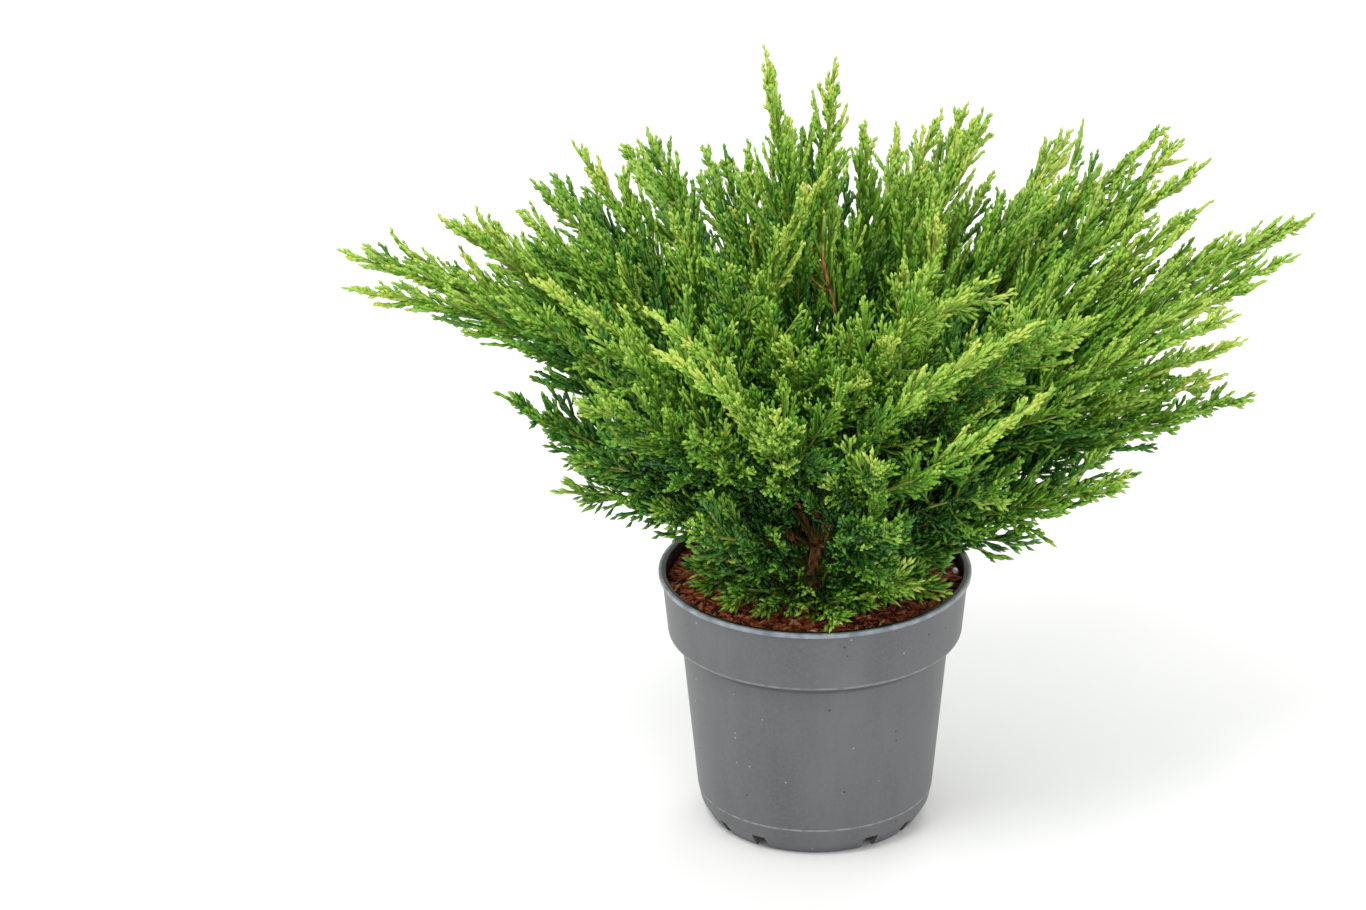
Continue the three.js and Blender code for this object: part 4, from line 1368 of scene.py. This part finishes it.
def growBranchlets(shoots):
    # arrays of branchlets on the side shoots and, farther out, on the leaders themselves
    g = growth
    random = np.random.default_rng(g["seed"] + 1000)
    stems = [(s["path"], s["length"], g["firstOnShoot"], s["share"], s["leader"]) for s in shoots]
    for number, path in enumerate(leaderPaths):
        first = kinds[leaders[number][0]]["bare"] + g["firstOnLeader"]
        stems.append((path, pathLength(path), first, None, number))
    b = stacked([branchletsOn(*stem, spray, random) for spray, stem in enumerate(stems)])
    for trait in ("open", "leaf"):
        b[trait] = np.array([kinds[leader[0]][trait] for leader in leaders])[b["leader"]]
    angle = np.radians(random.uniform(*g["branchletAngle"], len(b["root"]))) * b["open"]
    angle *= 1 - g["tipHug"] * b["share"] ** 2
    angle = np.where(b["tip"], g["tipAngle"], angle)
    b["direction"] = turnedFrom(b["along"], b["normal"], angle, b["roll"])
    rise = np.array([0.0, 0.0, g["branchletRise"]])
    b["bend"] = (b["along"] - b["direction"]) * g["branchletBend"] + rise
    jitter = random.normal(0.0, g["planeJitter"], b["root"].shape)
    b["plane"] = squareTo(b["normal"] + jitter, b["direction"])
    b["radius"] = g["branchletRadius"] * random.uniform(*g["branchletThickness"], len(b["root"]))
    return b


def dealTints(b):
    # a score for each branchlet: paler towards the tips and the outside of the crown, in clumps
    p = paleness
    random = np.random.default_rng(growth["seed"] + 2000)
    out = np.linalg.norm(b["root"] - np.array(growth["heart"]), axis=1) / growth["crownRadius"]
    score = p["least"] + p["alongLeader"] * b["inner"] + p["alongShoot"] * b["share"]
    # paler outward: partly young growth, partly painted light outside and painted shade within the crown
    score += p["outward"] * np.clip(out, 0, p["farthest"])
    # painted shade in the low and left parts of the crown, painted light in the high part
    for zone in paleZones:
        beyond = zone["way"] * (b["root"][:, zone["axis"]] - zone["start"])
        score += zone["by"] * np.clip(beyond / zone["over"], 0.0, 1.0)
    score += random.normal(0.0, p["bySpray"], b["spray"].max() + 1)[b["spray"]]
    score += random.normal(0.0, p["byBranchlet"], len(score))
    for number, leader in enumerate(leaders):
        own = kinds[leader[0]]["tint"] + paler.get(leader[:2], 0.0)
        score[b["leader"] == number] += own + random.normal(0.0, p["byLeader"])
    return score


def tintIndex(score):
    return sum((score > tint["below"]).astype(int) for tint in tints[:-1])


# foliage keeps above the mulch, and above the lip from a little inside of the wall to a little outside
clearance = {"inside": 0.004, "outside": 0.002, "overLip": 0.001, "overMulch": 0.0012}


def inGaps(places):
    # inside a slit as the camera sees it, and ahead of what the slit shows
    inside = np.zeros(len(places), dtype=bool)
    pitch = math.radians(camera["pitch"])
    toViewer = np.array([0.0, -math.cos(pitch), math.sin(pitch)])
    for slit in gaps:
        start, end = np.array(slit["from"]), np.array(slit["to"])
        way = end - start
        flatWay = way - (way @ toViewer) * toViewer
        offset = places - start
        ahead = offset @ toViewer
        flat = offset - ahead[:, None] * toViewer
        share = np.clip(flat @ flatWay / (flatWay @ flatWay), 0.0, 1.0)
        distance = np.linalg.norm(flat - share[:, None] * flatWay, axis=1)
        depth = share * (way @ toViewer) + slit["ahead"]
        inside |= (distance < slit["halfWidth"]) & (ahead > depth)
    return inside


def hasSpace(roots, tips):
    # out of the slits, clear of the mulch and of the pot's wall, and within the reach of the masses
    p, c = potSizes, clearance
    low, high = (np.array(corner) for corner in cadBox)
    keep = np.all((tips > low - growth["overreach"]) & (tips < high + growth["overreach"]), axis=1)
    keep &= ~(inGaps(roots) | inGaps(tips))
    for places in (roots, tips):
        radius = np.hypot(places[:, 0], places[:, 1])
        isOverWall = (radius > p["collarTop"] - c["inside"]) & (radius < p["lipRadius"] + c["outside"])
        lowest = np.where(isOverWall, p["height"] + c["overLip"], mulchSizes["top"] + c["overMulch"])
        keep &= places[:, 2] > lowest
    return keep


def withSpace(rows):
    # the branchlets or leaves of a table that have space
    tips = rows["root"] + (rows["direction"] + rows["bend"]) * rows["length"][:, None]
    keep = hasSpace(rows["root"], tips)
    return {key: values[keep] for key, values in rows.items()}


def growLeaves(b, score):
    # leaves stand alternately on both sides of each branchlet
    g = growth
    random = np.random.default_rng(g["seed"] + 3000)
    count = len(b["root"])
    number = (b["length"] / (g["leafStep"] * b["leaf"] ** 0.5)).astype(int)
    number = np.clip(number, 3, g["mostLeaves"])
    long = b["length"][:, None]
    rows = []
    for i in range(g["mostLeaves"]):
        steps = i + g["leafStart"] + random.uniform(-g["leafJitter"], g["leafJitter"], count)
        t = np.clip(steps / (number + g["leafRoom"]), *g["leafLimits"])[:, None]
        along = unit(b["direction"] + 2 * b["bend"] * t)
        roll = i % 2 * math.pi + random.normal(0.0, g["leafRoll"], count)
        angle = np.radians(random.uniform(*g["leafAngle"], count)) * b["open"]
        normal = squareTo(b["plane"], along)
        direction = turnedFrom(along, normal, angle, roll)
        size = g["leafLength"] * b["leaf"] * (1 - g["leafFade"] * t[:, 0])
        tipward = score + paleness["alongBranchlet"] * t[:, 0]
        leaves = {
            "root": b["root"] + b["direction"] * long * t + b["bend"] * long * t * t,
            "direction": direction,
            "plane": squareTo(normal, direction),
            "bend": (along - direction) * g["leafBend"],
            "length": size * random.uniform(*g["leafSizes"], count),
            "radius": g["leafRadius"] * random.uniform(*g["leafThickness"], count),
            "score": tipward + random.normal(0.0, paleness["byLeaf"], count),
        }
        rows.append({key: values[number > i] for key, values in leaves.items()})
    return stacked(rows)


def rowsOf(table, chosen):
    # what the chosen rows of a table of branchlets or leaves say of their shapes
    return [table[key][chosen] for key in ("root", "direction", "plane", "bend", "length", "radius")]


def addFoliage(b, leaves, branchTint, leafTint):
    # one piece for each tint, or several where it is large
    g = growth
    total = 0
    grain = {"Scale": 900.0, "Detail": 2.0, "Height": 0.35, "Distance": 0.0004}
    for i, tint in enumerate(tints):
        branchRows = np.flatnonzero(branchTint == i)
        leafRows = np.flatnonzero(leafTint == i)
        triangles = g["branchletTriangles"] * len(branchRows) + g["leafTriangles"] * len(leafRows)
        if triangles == 0:
            continue
        total += triangles
        shares = 1 + triangles // g["mostTriangles"]
        green = grained("leaf_" + tint["name"], 0.5, 0.4, grain, tint["colour"], (0.38, 0.58))
        rows = zip(np.array_split(branchRows, shares), np.array_split(leafRows, shares))
        for part, (someBranchlets, someLeaves) in enumerate(rows, 1):
            shape = joined([
                spindles(*rowsOf(b, someBranchlets), g["branchletRings"], g["branchletWidths"], 3),
                buds(*rowsOf(leaves, someLeaves), g["leafWidest"]),
            ])
            name = "leaves_" + tint["name"] + ("_" + str(part) if shares > 1 else "")
            addPiece(name, meshFromArrays(name, *shape), green, foliageNodes)
    return total


twigKinds = {
    "green": {"colours": [(84, 118, 40), (124, 142, 60)], "slot": "foliage_rim"},
    "pale": {"colours": [(136, 158, 60), (170, 174, 86)], "slot": "foliage_top"},
    "brown": {"colours": [(86, 60, 38), (122, 100, 58)], "slot": "bark"},
}

twigRule = {
    "brownBelow": 0.2,  # share of the way out below which the long shoots are brown
    "brownLonger": 0.03,
    "paleBeyond": 0.62,
    "shootSides": 4,
    "stemSides": 5,
    "thickness": (0.7, 5),  # shares of shootRadius: the least, and what each metre of a shoot adds
    "thinnest": 0.55,
    "overlap": 0.02,  # how far the green stems reach into the wood
}


def addTwigs(shoots):
    # green stems from the end of the wood to the tips, and the side shoots
    g, r = growth, twigRule
    wood = np.array([kinds[leader[0]]["wood"] for leader in leaders])
    spans = [np.linspace(max(w - r["overlap"], 0.0), g["stemEnd"], g["stemRings"]) for w in wood]
    stems = np.stack([onPath(path, span)[0] for path, span in zip(leaderPaths, spans)])
    bases = np.array([min(kinds[leader[0]]["boughRadius"], barkSizes["tipRadius"]) for leader in leaders])
    fading = np.linspace(0.0, 1.0, g["stemRings"])
    stemRadii = bases[:, None] + (np.minimum(g["stemTip"], bases) - bases)[:, None] * fading
    ways, lengths, shares = (np.array([s[key] for s in shoots]) for key in ("path", "length", "share"))
    least, perMetre = r["thickness"]
    thickness = g["shootRadius"] * (least + perMetre * lengths)
    radii = np.linspace(1.0, r["thinnest"], g["shootRings"])[None] * thickness[:, None]
    isBrown = (shares < r["brownBelow"]) & (lengths > r["brownLonger"])
    isPale = shares > r["paleBeyond"]
    chosen = {"green": ~isBrown & ~isPale, "pale": isPale, "brown": isBrown}
    twigs = {key: tubes(ways[rows], radii[rows], r["shootSides"]) for key, rows in chosen.items()}
    woody, soft = (tubes(stems[rows], stemRadii[rows], r["stemSides"]) for rows in (wood > 0, wood == 0))
    shapes = {"green": [twigs["green"], soft], "pale": [woody, twigs["pale"]], "brown": [twigs["brown"]]}
    grain = {"Scale": 500.0, "Stretch": (1.0, 1.0, 0.5), "Detail": 4.0, "Height": 0.5, "Distance": 0.0006}
    for key, kind in twigKinds.items():
        name = key + "Twigs"
        rind = grained(key + "Twig", 0.6, 0.35, grain, list(zip((0.35, 0.65), kind["colours"])))
        addPiece(name, meshFromArrays(name, *joined(shapes[key])), rind, foliageNodes)


def makeFoliage():
    middle = growth["shootRings"] // 2
    shoots = [s for s in growShoots() if hasSpace(s["path"][middle:middle + 1], s["path"][-1:])[0]]
    shoots = [s for s in shoots if not inGaps(s["path"]).any()]
    b = withSpace(growBranchlets(shoots))
    score = dealTints(b)
    leaves = withSpace(growLeaves(b, score))
    total = addFoliage(b, leaves, tintIndex(score), tintIndex(leaves["score"]))
    addTwigs(shoots)
    counts = [len(shoots), "shoots,", len(b["root"]), "branchlets,", len(leaves["root"]), "leaves,"]
    print("foliage made:", *counts, total, "triangles")


makeFoliage()
